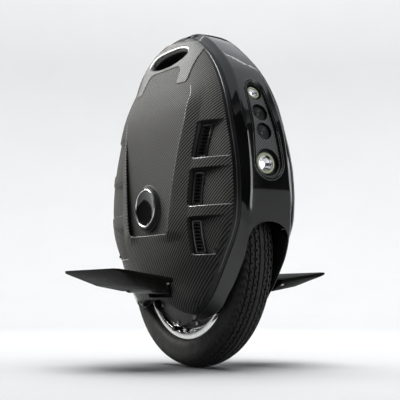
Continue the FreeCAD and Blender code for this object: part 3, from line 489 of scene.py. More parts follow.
# the olive cast in this near-black is a painted reflection of grass on down-facing faces
M_PEDAL = surf("pedal_coated_alloy", (0.0032, 0.0034, 0.0022), (0.0055, 0.0058, 0.0038), 0.46, 0.60, bump=(800.0, 0.12, 0.0003), spec=0.04)
M_LAMPRING = surf("lamp_ring", (0.50, 0.52, 0.33), (0.64, 0.65, 0.46), 0.24, 0.36, coat=0.6, coat_r=0.12, scale=90.0)
M_COPPER = surf("copper_winding", (0.45, 0.20, 0.09), (0.62, 0.30, 0.14), 0.25, 0.4, metal=1.0, scale=200.0)
M_PCB = surf("circuit_board", (0.01, 0.10, 0.03), (0.02, 0.16, 0.05), 0.35, 0.5, scale=150.0)
M_WRAP = surf("battery_wrap", (0.02, 0.07, 0.24), (0.03, 0.11, 0.32), 0.3, 0.4, scale=40.0)


def m_reflector():
    s = Mat("lamp_reflector")
    f = s.noise(700.0, 2.0)
    s.color(s.ramp(f, [(0.3, 0.80), (0.7, 0.90)]))
    s.rough(s.maprange(f, 0.06, 0.16))
    s.set(Metallic=1.0)
    v = s.n("TexVoronoi")
    v.inputs["Scale"].default_value = 420.0
    s.l(s.co.outputs["Object"], v.inputs["Vector"])
    s.bump(v.outputs["Distance"], 0.10, 0.0006)
    return s.m


def m_lens(name, col, rough, ior=1.46):
    s = Mat(name)
    f = s.noise(90.0, 2.0)
    s.rough(s.maprange(f, rough, rough + 0.03))
    s.set(Base_Color=col, Transmission_Weight=1.0, IOR=ior)
    return s.m


def m_led():
    s = Mat("led_chip")
    v = s.n("TexVoronoi")
    v.inputs["Scale"].default_value = 900.0
    s.l(s.co.outputs["Object"], v.inputs["Vector"])
    s.color(s.ramp(v.outputs["Distance"], [(0.1, (0.96, 0.97, 0.99)), (0.6, (0.82, 0.86, 0.92))]))
    s.rough(s.maprange(s.noise(400.0), 0.22, 0.38))
    s.set(Emission_Color=(0.80, 0.90, 1.0), Emission_Strength=1.6)
    return s.m


M_LED = m_led()


def m_red():
    s = Mat("red_lens")
    v = s.n("TexVoronoi", feature="F1")
    v.inputs["Scale"].default_value = 260.0
    s.l(s.co.outputs["Object"], v.inputs["Vector"])
    s.color(s.ramp(v.outputs["Distance"], [(0.1, (0.30, 0.006, 0.008)), (0.6, (0.14, 0.003, 0.004))]))
    s.rough(s.maprange(s.noise(90.0), 0.08, 0.14))
    s.set(Coat_Weight=1.0, Coat_Roughness=0.04)
    s.bump(v.outputs["Distance"], 0.4, 0.0008)
    return s.m


def m_grit():
    s = Mat("grip_pad_grit")
    v = s.n("TexVoronoi")
    v.inputs["Scale"].default_value = 900.0
    s.l(s.co.outputs["Object"], v.inputs["Vector"])
    f = s.noise(1500.0, 2.0)
    s.color(s.ramp(v.outputs["Distance"], [(0.15, 0.045), (0.55, 0.010)]))
    s.rough(s.maprange(f, 0.65, 0.9))
    s.bump(v.outputs["Distance"], 0.8, 0.0008)
    return s.m


def m_mesh_grille():
    s = Mat("speaker_mesh")
    sep = s.n("SeparateXYZ")
    s.l(s.co.outputs["Object"], sep.inputs[0])
    u = s.math("FRACT", s.math("MULTIPLY", s.math("ADD", sep.outputs["Y"], sep.outputs["Z"]), 620.0))
    v = s.math("FRACT", s.math("MULTIPLY", s.math("SUBTRACT", sep.outputs["Y"], sep.outputs["Z"]), 620.0))
    du, dv = s.math("SUBTRACT", u, 0.5), s.math("SUBTRACT", v, 0.5)
    d = s.math("ADD", s.math("MULTIPLY", du, du), s.math("MULTIPLY", dv, dv))
    s.color(s.ramp(d, [(0.07, 0.003), (0.12, 0.012)]))
    s.rough(s.maprange(s.noise(300.0), 0.34, 0.48))
    s.bump(d, 0.3, 0.0003)
    return s.m


M_REFLECT, M_GLASS, M_RED, M_GRIT, M_SPK = m_reflector(), m_lens("clear_lens", (0.97, 0.98, 0.98), 0.0), m_red(), m_grit(), m_mesh_grille()

# ------------------------------------------------------------------ side covers
VENTS = [(213.0, 281.0), (300.5, 369.0), (388.0, 457.0)]
HANG_Z0, HANG_Z1 = 135.0, 171.0
LOW_FRONT = pchip([(0, 131), (11, 128), (30, 117), (46, 109), (65, 104), (84, 101), (240, 95)])
LOW_REAR = pchip([(0, 131), (40, 131), (66, 130.6), (85, 128), (110, 119), (139, 106), (240, 60)])
WALL0, WALL1, UNDER = 8.0, 12.5, 0.62      # depth of a vent at its inner wall and at the end of its grille; slope of its upper wall
RIDGE = pchip([(102, 30), (124, 44), (182, 44), (215, 60), (232, 70), (254, 77), (336, 95), (430, 114), (470, 120), (505, 121), (546, 99), (587, 70),
               (610, 54), (626, 40), (640, 26), (648, 15)])
VIN = pchip([(102, 58), (124, 88), (181, 112), (205, 125), (213, 127), (281, 131), (300, 132), (369, 139), (388, 140), (457, 147), (500, 147), (546, 124), (587, 92), (610, 68),
             (626, 50), (640, 32), (648, 19)])
RIDGE_R = pchip([(102, 30), (124, 44), (182, 44), (215, 54), (232, 60), (254, 63), (336, 70), (430, 79), (470, 84), (505, 88), (546, 82), (587, 64),
                 (610, 51), (626, 39), (640, 26), (648, 15)])
VIN_R = pchip([(102, 58), (124, 84), (181, 96), (205, 101), (213, 102), (281, 102), (300, 102), (369, 104), (388, 105), (457, 110), (500, 114), (546, 103), (587, 80), (610, 61),
               (626, 46), (640, 30), (648, 18)])
GRILLE_W = 20.0
POCKET_Z0, POCKET_Z1 = 254.0, 508.0


def rim_edge_table():
    zs = np.concatenate([np.arange(102, 640, 4.0), [640, 644, 648]])
    out = []
    for z in zs:
        s = 1 - np.linspace(0, 1, 1200) ** 2 * 0.6
        x, y = s * XS(z), cover_w(s * XS(z), z)
        arc = np.concatenate([[0], np.cumsum(np.hypot(np.diff(x), np.diff(y)))])
        out.append((z, float(np.interp(14.0, arc, x))))
    return out


CE = pchip(rim_edge_table())


def vout(z):
    return CE(z) - 2.0 - 8.0 * smooth01((300.0 - z) / 18.0) * smooth01((z - 195.0) / 18.0)


def cover_rows():
    r = list(np.arange(102.0, 648.01, 3.0)) + [648.0]
    for z0, z1 in VENTS:
        r += [z0 + d for d in (-2.4, -1.7, -1.1, -0.6, -0.25, 0.0, 0.08, 1.0, 2.0, 3.2, 4.6, 6.0)]
        r += [z1 + d for d in (-9.4, -8.2, -7.0, -5.8, -4.6, -3.4, -2.2, -1.0, 0.0, 0.25, 0.7, 1.3, 2.2)]
    r += [POCKET_Z0 + d for d in (-3.0, -2.2, -1.4, -0.8, -0.3, 0.0, 0.08, 0.9, 2.0, 3.4, 5.0)]
    r += [HANG_Z0 + d for d in (-1.5, -0.7, -0.2, 0.0, 0.1)] + [HANG_Z1 + d for d in (-0.1, 0.0, 0.2, 0.7, 1.5)]
    r = np.array(sorted(set(np.round(r, 3))))
    hard = set()
    for z0, z1 in VENTS:
        hard |= {round(z0, 3), round(z0 + 0.08, 3), round(z1, 3)}
    hard |= {POCKET_Z0, round(POCKET_Z0 + 0.08, 3), HANG_Z0, HANG_Z0 + 0.1, HANG_Z1, HANG_Z1 - 0.1}
    out = [r[0]]
    for z in r[1:]:
        near = z - out[-1] < 0.28
        if near and z not in hard and round(float(z), 3) not in hard:
            continue
        out.append(z)
    return np.array(out)


def corner_warp(X, Z, cx, cz, sx, sz, r):
    """Bends grid lines so that a square corner at (cx, cz), opening towards (-sx, -sz), becomes an arc of radius r."""
    a = (X - (cx - sx * r)) * sx
    b = (Z - (cz - sz * r)) * sz
    m = np.maximum(a, b)
    h = np.hypot(a, b)
    on = (a > 0) & (b > 0) & (m < 2.0 * r)
    k = np.where(on, m / np.maximum(h, 1e-9), 1.0)
    fade = smooth01((m - r) / r)
    k = np.where(on, k * (1 - fade) + fade, 1.0)
    return X + (k - 1) * a * sx * on, Z + (k - 1) * b * sz * on


def low_edge(s, table):
    """Height of the cover's lower edge at the fraction s of its length."""
    zz = np.arange(102.0, 134.01, 0.2)
    out = []
    for q in np.atleast_1d(s):
        ok = zz >= table(q * XS(zz)) - 1e-6
        out.append(zz[np.argmax(ok)] if ok.any() else 134.0)
    return np.array(out)


def cover_grid(rear=False):
    """Right-hand cover for X >= 0 (or its rear half, mirrored): points (rows, cols, 3) and a material number per face."""
    ridge, vin = (RIDGE_R, VIN_R) if rear else (RIDGE, VIN)
    zr = cover_rows()
    rd, vi, vo, ce, xs = ridge(zr), vin(zr), vout(zr), CE(zr), XS(zr)
    cols = []
    for t in np.linspace(0, 1, 22)[:-1]:
        cols.append(t * (rd - 1.0))
    cols += [rd + d for d in (-1.0, -0.08, 0.0, 0.3, 0.8, 1.5, 2.4)]
    iR = len(cols) - 5
    n = 8
    for t in np.linspace(0, 1, n + 2)[1:-1]:
        cols.append((rd + 2.4) * (1 - t) + (vi - 2.6) * t)
    cols += [vi + d for d in (-2.6, -1.8, -1.1, -0.6, -0.25, 0.0, 0.08, 1.0, 2.0, 3.2, 4.6, 6.0)]
    iV = len(cols) - 7
    for t in np.linspace(0, 1, 26)[1:-1]:
        cols.append((vi + 6.0) * (1 - t) + (vo - 3.0) * t)
    cols += [vo + d for d in (-3.0, -1.6, -0.7, 0.0)]
    iO = len(cols) - 1
    cols += [ce + d for d in (-0.9, -0.35, 0.0, 0.25, 0.7)]
    iC = len(cols) - 3
    for t in np.linspace(0, 1, 16)[1:]:
        cols.append((ce + 0.7) + (xs - ce - 0.7) * (1 - (1 - t) ** 1.9))
    X0 = np.stack(cols, 1)
    Z0 = np.repeat(zr[:, None], X0.shape[1], 1)
    X, Z = X0.copy(), Z0.copy()
    for z0, z1 in VENTS:
        band = ((Z0 > z0 - 14) & (Z0 < z1 + 14))
        vv = vin(Z0)
        for zc, sz in ((z0, -1), (z1, 1)):
            a, b = corner_warp(X0, Z0, vv, zc, -1, sz, 6.0)
            X, Z = np.where(band, X + (a - X0), X), np.where(band, Z + (b - Z0), Z)
    a, b = corner_warp(X0, Z0, ridge(Z0), POCKET_Z0, 1, -1, 8.0)
    X, Z = X + (a - X0), Z + (b - Z0)
    # arched lower edge, rounded inwards
    sq = np.linspace(0, 1, 161)
    zq = low_edge(sq, LOW_REAR if rear else LOW_FRONT)
    zq = np.convolve(np.pad(zq, 4, mode="edge"), np.ones(9) / 9.0, mode="valid")
    sf = np.clip(X0 / XS(Z0), 0, 1)
    zb = np.interp(sf, sq, zq)
    ZL = HANG_Z0 - 1.6
    lowr = Z0 < ZL
    Zn = zb + (Z0 - 102.0) * (ZL - zb) / (ZL - 102.0)
    Z = np.where(lowr, Zn, Z)
    X = np.where(lowr, sf * XS(Zn), X)
    w = cover_w(X, Z)
    er = 3.2
    de = np.clip((Z - zb) / er, 0, 1)
    w = w - np.where(lowr, er * (1 - np.sqrt(np.clip(1 - (1 - de) ** 2, 0, 1))), 0.0)
    # a crease along both sides of the flat centre panel, with a facet falling away from it
    rz0, vv = ridge(Z0), vin(Z0)
    crest = 7.0 * smooth01((Z0 - 236.0) / 22.0) * smooth01((552.0 - Z0) / 70.0)
    fall = np.clip((X0 - rz0) / np.maximum(0.98 * (vv - rz0), 6.0), 0, 1)
    w = w + crest * np.where(X0 >= rz0 - 0.01, 1 - fall, np.clip(X0 / rz0, 0, 1) ** 2.4)
    # centre panel: flush at its top, sunk towards its lower edge
    rz = ridge(Z)
    wr = cover_w(rz, Z) + 0.6 * crest
    up = smooth01((Z - POCKET_Z0) / (POCKET_Z1 - POCKET_Z0))
    bulge = 0.42 + 0.58 * up
    wc = cover_w(RIDGE(Z), Z) + 0.6 * crest
    mid = wc * (1 - bulge) + WW(Z) * bulge
    pan = mid + (wr - mid) * (X / rz) ** 2 - 6.5 * (1 - up ** 0.8)
    inp = (X0 <= rz0 - 0.05) & (Z0 >= POCKET_Z0 + 0.05) & (Z0 <= POCKET_Z1)
    k = smooth01((Z - 400.0) / (POCKET_Z1 - 404.0))
    pan = np.minimum(pan * (1 - k) + w * k, w)
    y = w.copy()
    # rounded edge of the panel's surround
    e1, e2 = X0 - rz0, POCKET_Z0 - Z0
    gap = np.clip(w - pan, 0, None)
    fr = 2.4
    dist = np.where((Z0 >= POCKET_Z0) & (Z0 <= POCKET_Z1), e1, np.hypot(np.clip(e1, 0, None), np.clip(e2, 0, None)))
    dist = np.where((Z0 < POCKET_Z0) & (X0 < rz0), e2, dist)
    fil = np.where((dist >= 0) & (dist < fr), fr - np.sqrt(np.clip(fr ** 2 - (fr - dist) ** 2, 0, None)), 0.0)
    fil = np.where(Z0 <= POCKET_Z1, fil, 0.0)
    y = y - np.minimum(fil, gap)
    y = np.where(inp, pan, y)
    # vents: a scoop with a plain inner wall, deepest at the grille, running out flush towards the front
    oo = vout(Z0)
    for z0, z1 in VENTS:
        dv = vent_depth(X0, vv, oo)
        inv = (X0 >= vv + 0.05) & (X0 <= oo) & (Z0 >= z0 + 0.05) & (Z0 < z1 - 0.01)
        well = (X0 > vv + 4.0) & (X0 < vv + GRILLE_W - 2.5) & (Z0 > z0 + 4.4) & (Z0 < z1 - 9.0)
        cut = np.minimum(dv, (z1 - Z0) / UNDER + 0.3) + np.where(well, 9.0, 0.0)
        y = np.where(inv, w - cut, y)
        # rounded lips
        ex, elo, ehi = vv - X0, z0 - Z0, Z0 - z1
        inx = (X0 >= vv) & (X0 <= oo + 0.01)
        lip = np.zeros_like(X0)
        r1 = 2.4
        d = np.where(inx & (elo >= 0), elo, np.where((Z0 >= z0) & (Z0 <= z1) & (ex >= 0), ex, np.hypot(np.clip(ex, 0, None), np.clip(elo, 0, None))))
        sel = (d >= 0) & (d < r1) & (X0 <= oo + 0.01) & (Z0 <= z1) & ~inv
        lip = np.where(sel, r1 - np.sqrt(np.clip(r1 ** 2 - (r1 - d) ** 2, 0, None)), lip)
        r2 = 0.8
        d2 = np.where(inx & (ehi >= 0), ehi, np.hypot(np.clip(ex, 0, None), np.clip(ehi, 0, None)))
        sel2 = (d2 < r2) & (Z0 >= z1) & (X0 <= oo + 0.01)
        lip = np.where(sel2, 0.5 * (r2 - np.sqrt(np.clip(r2 ** 2 - (r2 - d2) ** 2, 0, None))), lip)
        y = y - np.minimum(lip, np.where(X0 < vv, WALL0, dv))
    # opening for the pedal hanger, closed by a flat sheet painted dark as painted shade
    hang = (X0 <= rz0 - 0.05) & (Z0 >= HANG_Z0 + 0.05) & (Z0 <= HANG_Z1 - 0.05)
    y = np.where(hang, 62.0, y)
    # material of each face, from where its middle lies
    Xc = 0.25 * (X0[:-1, :-1] + X0[:-1, 1:] + X0[1:, :-1] + X0[1:, 1:])
    Zc = 0.25 * (Z0[:-1, :-1] + Z0[:-1, 1:] + Z0[1:, :-1] + Z0[1:, 1:])
    rc, vc, oc = ridge(Zc), vin(Zc), vout(Zc)
    fm = np.zeros(Xc.shape, int)
    # painted highlight along the sunk panel's lower edge
    fm[(Zc > POCKET_Z0 - 2.0) & (Zc < POCKET_Z0 + 0.06) & (Xc < rc - 1.0)] = 3
    for z0, z1 in VENTS:
        dc = vent_depth(Xc, vc, oc)
        ins = (Xc > vc) & (Xc < oc) & (Zc > z0) & (Zc < z1)
        # painted shade: the grille zone, the sloping upper wall and the lower wall of each scoop are painted black
        fm[ins & ((Xc < vc + GRILLE_W + 2.5) | (Zc > z1 - UNDER * dc) | (Zc < z0 + 0.06))] = 4
        # painted shade: the floor of the well behind the grille is painted dark
        fm[ins & (Xc > vc + 4.0) & (Xc < vc + GRILLE_W - 2.5) & (Zc > z0 + 4.4) & (Zc < z1 - 9.0)] = 2
        # painted highlight along each vent's lower lip
        fm[(Xc > vc - 1.2) & (Xc < oc) & (Zc > z0 - 2.0) & (Zc < z0)] = 3
    # painted shade on the sheet across the hanger opening
    fm[(Xc < rc) & (Zc > HANG_Z0) & (Zc < HANG_Z1)] = 2
    # wall of the sunk panel, painted black as painted shade, and its rounded edge, in a near-white weave as a painted
    # highlight
    inz = (Zc > POCKET_Z0) & (Zc < 486.0)
    fm[inz & (Xc > rc - 0.09) & (Xc < rc)] = 4
    # painted highlight: thin near-white strip along the ridge's rounded edge
    fm[(Zc > POCKET_Z0) & (Zc < 530.0) & (Xc > rc) & (Xc < rc + 1.55)] = 6
    # rounded inner edge of each vent, painted black as painted shade
    for z0, z1 in VENTS:
        fm[(Xc > vc - 1.9) & (Xc < vc) & (Zc > z0 + 1.5) & (Zc < z1 - 1.0)] = 4
    jc = np.arange(fm.shape[1])[None, :]
    fm = np.where((jc >= iC) | (Zc > 638.0), 1, fm)
    # fine bead along the rim, in a lighter finish as a painted highlight of the seam
    fm = np.where((jc >= iC + 6) & (jc <= iC + 7) & (Zc > 180.0) & (Zc < 632.0), 5, fm)
    y[:, iC + 7] += 0.7 * smooth01((Z0[:, 0] - 170.0) / 20.0) * smooth01((638.0 - Z0[:, 0]) / 12.0)
    # the smooth rim stands a little proud of the woven field
    y = y - np.where(X0 < CE(Z0) + 0.1, 0.5, 0.0) * smooth01((640 - Z0) / 10.0)
    # close the last columns into the seam groove
    y[:, -1] = YS(Z[:, -1]) + 0.9
    P = np.stack([X, -y, Z], -1)
    end = P[:, -1:, :]
    roll = []
    for dx, dy in ((0.7, 0.35), (1.6, 0.6), (7.0, 0.65)):
        q = end.copy()
        q[..., 0] -= dx
        q[..., 1] += dy
        roll.append(q)
    P = np.concatenate([P] + roll, 1)
    fm = np.concatenate([fm] + [np.full((fm.shape[0], 1), 2)] * 3, 1)
    # top edge turned in
    top = []
    for dz, dy in ((0.5, 0.6), (0.6, 3.0)):
        q = P[-1:].copy()
        q[..., 2] += dz
        q[..., 1] += dy
        top.append(q)
    # bottom edge turned in
    bot = []
    for dz, dy in ((1.5, 18.0), (0.4, 5.0), (0.0, 1.2)):
        q = P[:1].copy()
        q[..., 2] += dz
        q[..., 1] = np.minimum(q[..., 1] + dy, -47.0)
        bot.append(q)
    P = np.concatenate(bot + [P] + top, 0)
    fm = np.concatenate([np.full((3, fm.shape[1]), 1), fm, np.full((2, fm.shape[1]), 1)], 0)
    return P, fm


def vent_depth(x, vi, vo):
    g = vi + GRILLE_W + 2.0
    t = np.clip((x - vi) / (GRILLE_W + 2.0), 0, 1)
    t2 = np.clip((x - g) / np.maximum(vo - g, 1.0), 0, 1)
    return np.where(x > g, WALL1 * (1 - t2) ** 1.05, WALL0 + (WALL1 - WALL0) * t)


HOLE_RIM = (HOLE_X, 609.6, HOLE_HX + 8.0, 24.0)      # outer edge of the hand hole's lip: middle and half axes


def side_cover(side):
    P, fm = cover_grid()
    R, fr = cover_grid(True)
    full = np.concatenate([R[:, :0:-1] * (-1, 1, 1), P], 1)
    q = np.concatenate([fr[:, ::-1], fm], 1)
    c = 0.25 * (full[:-1, :-1] + full[:-1, 1:] + full[1:, :-1] + full[1:, 1:])
    hole = ((c[..., 0] - HOLE_X) / (HOLE_HX + 3.5)) ** 2 + ((c[..., 2] - HOLE_Z - 1.0) / (HOLE_HZ + 2.0)) ** 2 < 1
    nr, nc = full.shape[:2]
    V = rear_full(full.reshape(-1, 3))
    keep = ~hole
    if side == "left":
        V = V * (1, -1, 1)
    F = grid_faces(nr, nc, keep=keep, flip=(side == "left"))
    o = make("side_cover_" + side, V, F, [M_CARBON, M_RIMBAND, M_JOINT_AND_SHADE, M_EDGE_HIGHLIGHT, M_WALL_BLACK_SHADE, M_BEAD_HIGHLIGHT, M_CREASE_HIGHLIGHT], q[keep], sharp=38.0)
    return piece(o, "chassis", ["side_cover_" + side])


def side_point(x, z, h, sgn):
    """Point on a side cover's plain surface, h above it along the surface normal."""
    e = 0.5
    w = cover_w(x, z)
    gx = (cover_w(x + e, z) - cover_w(x - e, z)) / (2 * e)
    gz = (cover_w(x, z + e) - cover_w(x, z - e)) / (2 * e)
    n = np.stack([-gx, np.ones_like(gx), -gz], -1)
    n /= np.linalg.norm(n, axis=-1)[..., None]
    p = np.stack([x, w, z], -1) + n * np.asarray(h)[..., None]
    p[..., 1] *= sgn
    return rear_full(p)


def sweep_side(path, prof, sgn, closed=True):
    nn = path_normals(path, closed)
    pr = np.asarray(prof, float)
    Q = path[:, None, :] + nn[:, None, :] * pr[None, :, 0:1]
    P = side_point(Q[..., 0], Q[..., 1], np.broadcast_to(pr[None, :, 1], Q.shape[:2]), sgn)
    f = grid_faces(len(path), len(pr), wrap_r=closed, flip=(sgn > 0))
    return P.reshape(-1, 3), f


PANEL = [(-96, 611), (-60, 634), (0, 643), (60, 634), (96, 611), (92, 577), (95, 541), (66, 541), (59, 572), (48, 581.5),
         (-48, 581.5), (-59, 572), (-66, 541), (-95, 541), (-92, 577)]
PANEL_R = [5, 30, 60, 30, 5, 30, 5, 5, 10, 10, 10, 10, 5, 5, 30]


def handle_panel(side):
    sgn = -1 if side == "right" else 1
    out = densify(round_poly(PANEL, PANEL_R), 3.0)
    if np.sum(out[:, 0] * np.roll(out[:, 1], -1) - np.roll(out[:, 0], -1) * out[:, 1]) < 0:
        out = out[::-1]
    nn = path_normals(out)
    inner = out - nn * 1.0
    ring = np.linspace(0, 2 * math.pi, 144, endpoint=False)
    el = np.stack([HOLE_RIM[0] + HOLE_RIM[2] * np.cos(ring), HOLE_RIM[1] + HOLE_RIM[3] * np.sin(ring)], 1)
    pts = [tuple(p) for p in inner] + [tuple(p) for p in el]
    n1, n2 = len(inner), len(el)
    ed = [(i, (i + 1) % n1) for i in range(n1)] + [(n1 + i, n1 + (i + 1) % n2) for i in range(n2)]
    gx, gz = np.meshgrid(np.arange(-96, 97, 3.0), np.arange(541, 645, 3.0), indexing="ij")
    gx, gz = gx.ravel(), gz.ravel()
    ok = inside_poly(gx, gz, out - nn * 2.6) & ((((gx - HOLE_RIM[0]) / (HOLE_RIM[2] + 1.6)) ** 2 + ((gz - HOLE_RIM[1]) / (HOLE_RIM[3] + 1.6)) ** 2) > 1)
    pts += list(zip(gx[ok], gz[ok]))
    vo, _, fo, *_ = delaunay_2d_cdt([Vector(p) for p in pts], ed, [], 0, 1e-5)
    vo = np.array([tuple(v) for v in vo])
    fo = np.array(fo)
    c = vo[fo].mean(1)
    good = inside_poly(c[:, 0], c[:, 1], inner) & ((((c[:, 0] - HOLE_RIM[0]) / HOLE_RIM[2]) ** 2 + ((c[:, 1] - HOLE_RIM[1]) / HOLE_RIM[3]) ** 2) > 0.9985)
    fo = fo[good]
    a, b, d = vo[fo[:, 0]], vo[fo[:, 1]], vo[fo[:, 2]]
    area = (b[:, 0] - a[:, 0]) * (d[:, 1] - a[:, 1]) - (b[:, 1] - a[:, 1]) * (d[:, 0] - a[:, 0])
    fo[area < 0] = fo[area < 0][:, ::-1]
    if sgn > 0:
        fo = fo[:, ::-1]
    H = 0.75
    top = side_point(vo[:, 0], vo[:, 1], np.full(len(vo), H), sgn)
    rim_v, rim_f = sweep_side(out, [(-1.0, H), (-0.45, H - 0.12), (-0.1, H - 0.5), (0.0, -1.2)], sgn)
    # rounded lip of the hand hole, turned in to a short sleeve whose inner end is painted dark as painted shade
    el2 = np.stack([HOLE_X + HOLE_HX * np.cos(ring), HOLE_Z + HOLE_HZ * np.sin(ring)], 1)
    rows = []
    for k in range(0, 13):
        t = k / 12.0
        f = 1 - math.sin(t * math.pi / 2)
        q = el2 * (1 - f) + el * f
        h = 0.95 - 9.0 * (1 - math.cos(t * math.pi / 2))
        if k == 0:
            h = H - 0.35
        rows.append(side_point(q[:, 0], q[:, 1], np.full(len(q), h), sgn))
    last = rows[-1].copy()
    for ya in (0.75, 0.45):
        r = last.copy()
        r[:, 1] = last[:, 1] * ya
        rows.append(r)
    L = np.stack(rows, 1)
    # the last rows of the sleeve are painted dark as painted shade
    lm = [1] * 12 + [2] * 2
    lf = grid_faces(L.shape[0], L.shape[1], wrap_r=True, flip=(sgn < 0))
    lmid = np.tile(lm, L.shape[0])
    V, F, M = join([(top, fo, 0), (rim_v, rim_f, 0), (L.reshape(-1, 3), lf, lmid)])
    o = make("handle_panel_" + side, V, F, [M_PANEL_LIT, M_LIP, M_JOINT_AND_SHADE], M, sharp=40.0)
    bm = bmesh.new()
    bm.from_mesh(o.data)
    bmesh.ops.remove_doubles(bm, verts=bm.verts, dist=2e-5)
    bm.to_mesh(o.data)
    bm.free()
    piece(o, "chassis", ["handle_panel_" + side])
    # dark joint line around the panel
    gv, gf = sweep_side(out, [(1.25, -0.25), (1.15, 0.10), (0.2, 0.10), (0.1, -0.3)], sgn)
    g = make("panel_joint_" + side, gv, gf, [M_JOINT_AND_SHADE], sharp=None)
    piece(g, "chassis")
    return o


def vent_grilles(side):
    sgn = -1 if side == "right" else 1
    parts = []
    for z0, z1 in VENTS:
        zc = 0.5 * (z0 + z1)
        for sx in (1, -1):
            vin = VIN if sx > 0 else VIN_R
            vi = float(vin(zc))
            xa, xb = vi + 0.6, vi + GRILLE_W
            ya, yb = cover_w(xa, zc) - WALL0 - 0.2, cover_w(xb, zc) - WALL1 + 0.1
            d = np.array([xb - xa, yb - ya])
            L = float(np.linalg.norm(d))
            u = d / L
            n = np.array([-u[1], u[0]])
            if n[1] < 0:
                n = -n

            def pt(a, z, h):
                a, z, h = np.broadcast_arrays(np.asarray(a, float), np.asarray(z, float), np.asarray(h, float))
                lean = vin(z) - vi
                bend = (cover_w(xa + a * u[0] + lean, z) - cover_w(xa + a * u[0], np.full_like(a, zc)))
                return np.stack([sx * (xa + a * u[0] + n[0] * h + lean), sgn * (ya + a * u[1] + n[1] * h + bend), z], -1)
            outl = densify(round_poly([(0.8, z0 + 1.2), (L, z0 + 1.2), (L, z1 - 6.2), (0.8, z1 - 6.2)], [5.0, 3.0, 3.0, 5.0]), 3.0)
            nn = path_normals(outl)
            prof = np.array([(0.0, -2.0), (0.0, 0.3), (-0.4, 0.8), (-1.1, 1.0), (-2.3, 0.9), (-3.0, 0.5), (-3.4, -0.6), (-3.6, -8.0)])
            Q = outl[:, None, :] + nn[:, None, :] * prof[None, :, 0:1]
            P = pt(Q[..., 0], Q[..., 1], np.broadcast_to(prof[None, :, 1], Q.shape[:2]))
            parts.append((P.reshape(-1, 3), grid_faces(len(outl), len(prof), wrap_r=True, flip=(sgn * sx > 0)), np.tile([1, 1, 1, 1, 1, 0, 0], len(outl))))
            ns = 9
            for i in range(ns):
                z = z0 + 6.0 + (z1 - z0 - 17.5) * i / (ns - 1)
                sec = [(-1.0, 0.2), (0.4, 0.2), (2.0, -4.6), (1.2, -5.2), (-0.6, -4.4)]
                aa = np.linspace(4.0, L - 2.6, 7)
                P = np.stack([pt(aa, np.full_like(aa, z + dz), np.full_like(aa, h)) for dz, h in sec], 1)
                parts.append((P.reshape(-1, 3), grid_faces(len(aa), len(sec), wrap_c=True, flip=(sgn * sx < 0)), 0))
    V, F, M = join(parts)
    o = make("vent_grilles_" + side, V, F, [M_GRILLE, M_FRAME_HIGHLIGHT], M, sharp=30.0)
    return piece(o, "chassis", ["vent_grilles_" + side])


# ------------------------------------------------------------------ side bosses
def place_side(v, sgn, z):
    """Lathe points (about Y, y outwards) to a side of the body."""
    v = np.asarray(v, float).copy()
    v[:, 1] *= sgn
    v[:, 2] += z
    return v


def side_boss(side):
    sgn = -1 if side == "right" else 1
    # flank with fine ribs
    segs = 360
    prof = [(46.0, 104.0), (BOSS_R, 106.5), (BOSS_R, 112.6), (46.3, 113.9), (45.2, 114.6)]
    a = np.linspace(0, 2 * math.pi, segs, endpoint=False)
    rib = 0.5 + 0.5 * np.cos(a * 45)
    rib = smooth01((rib - 0.25) / 0.5)
    cone = [(45.2, 114.6), (44.4, 115.4), (43.2, 116.9), (42.0, 118.4), (41.0, 119.7), (40.3, 120.5), (39.4, 120.95), (38.2, 121.0), (37.4, 120.8), (37.2, 117.0)]
    amp = [0.0, 0.55, 0.9, 0.9, 0.8, 0.45, 0.0, 0.0, 0.0, 0.0]
    P = np.zeros((segs, len(cone), 3))
    for k, ((r, y), m) in enumerate(zip(cone, amp)):
        rr = r - m * (1 - rib)
        P[:, k] = np.stack([rr * np.cos(a), np.full(segs, y - 0.5 * m) + 0.5 * m * rib, rr * np.sin(a)], 1)
    v1, f1 = lathe(prof, 180)
    flip = sgn > 0
    F1 = f1[:, ::-1] if not flip else f1
    F2 = grid_faces(segs, len(cone), wrap_r=True, flip=not flip)
    V, F, M = join([(place_side(v1, sgn, BOSS_Z), F1, 0), (place_side(P.reshape(-1, 3), sgn, BOSS_Z), F2, 0)])
    o = make("side_boss_" + side, V, F, [M_PLASTIC], M, sharp=50.0)
    piece(o, "chassis")
    ring = [(37.1, 118.0), (37.1, 121.3), (36.8, 121.8), (36.1, 122.15), (35.3, 122.15), (34.6, 121.8), (34.2, 121.2), (34.0, 118.5)]
    v, f = lathe(ring, 180)
    r = make("boss_ring_" + side, place_side(v, sgn, BOSS_Z), f[:, ::-1] if not flip else f, [M_CHROME], sharp=60.0)
    piece(r, "chassis")
    # dished blank cap with a shallow step
    cap = [(34.0, 119.0), (34.0, 120.2), (33.4, 120.6), (32.2, 120.4), (30.0, 119.6), (26.0, 118.7), (20.0, 117.95), (12.0, 117.45), (4.0, 117.2), (0.001, 117.2)]
    v, f = lathe(cap, 144)
    c = make("boss_cap_" + side, place_side(v, sgn, BOSS_Z), f[:, ::-1] if not flip else f, [M_GLOSS], sharp=50.0)
    piece(c, "chassis")
    return o, r, c


# ------------------------------------------------------------------ centre band
CEN = np.array([0.0, 330.0])


def outline(fx, zs, tail):
    p = np.stack([fx(zs), zs], 1)
    return np.concatenate([p, np.array(tail)])


def polar(p):
    d = p - CEN
    return np.arctan2(d[:, 1], d[:, 0]), np.hypot(d[:, 0], d[:, 1])


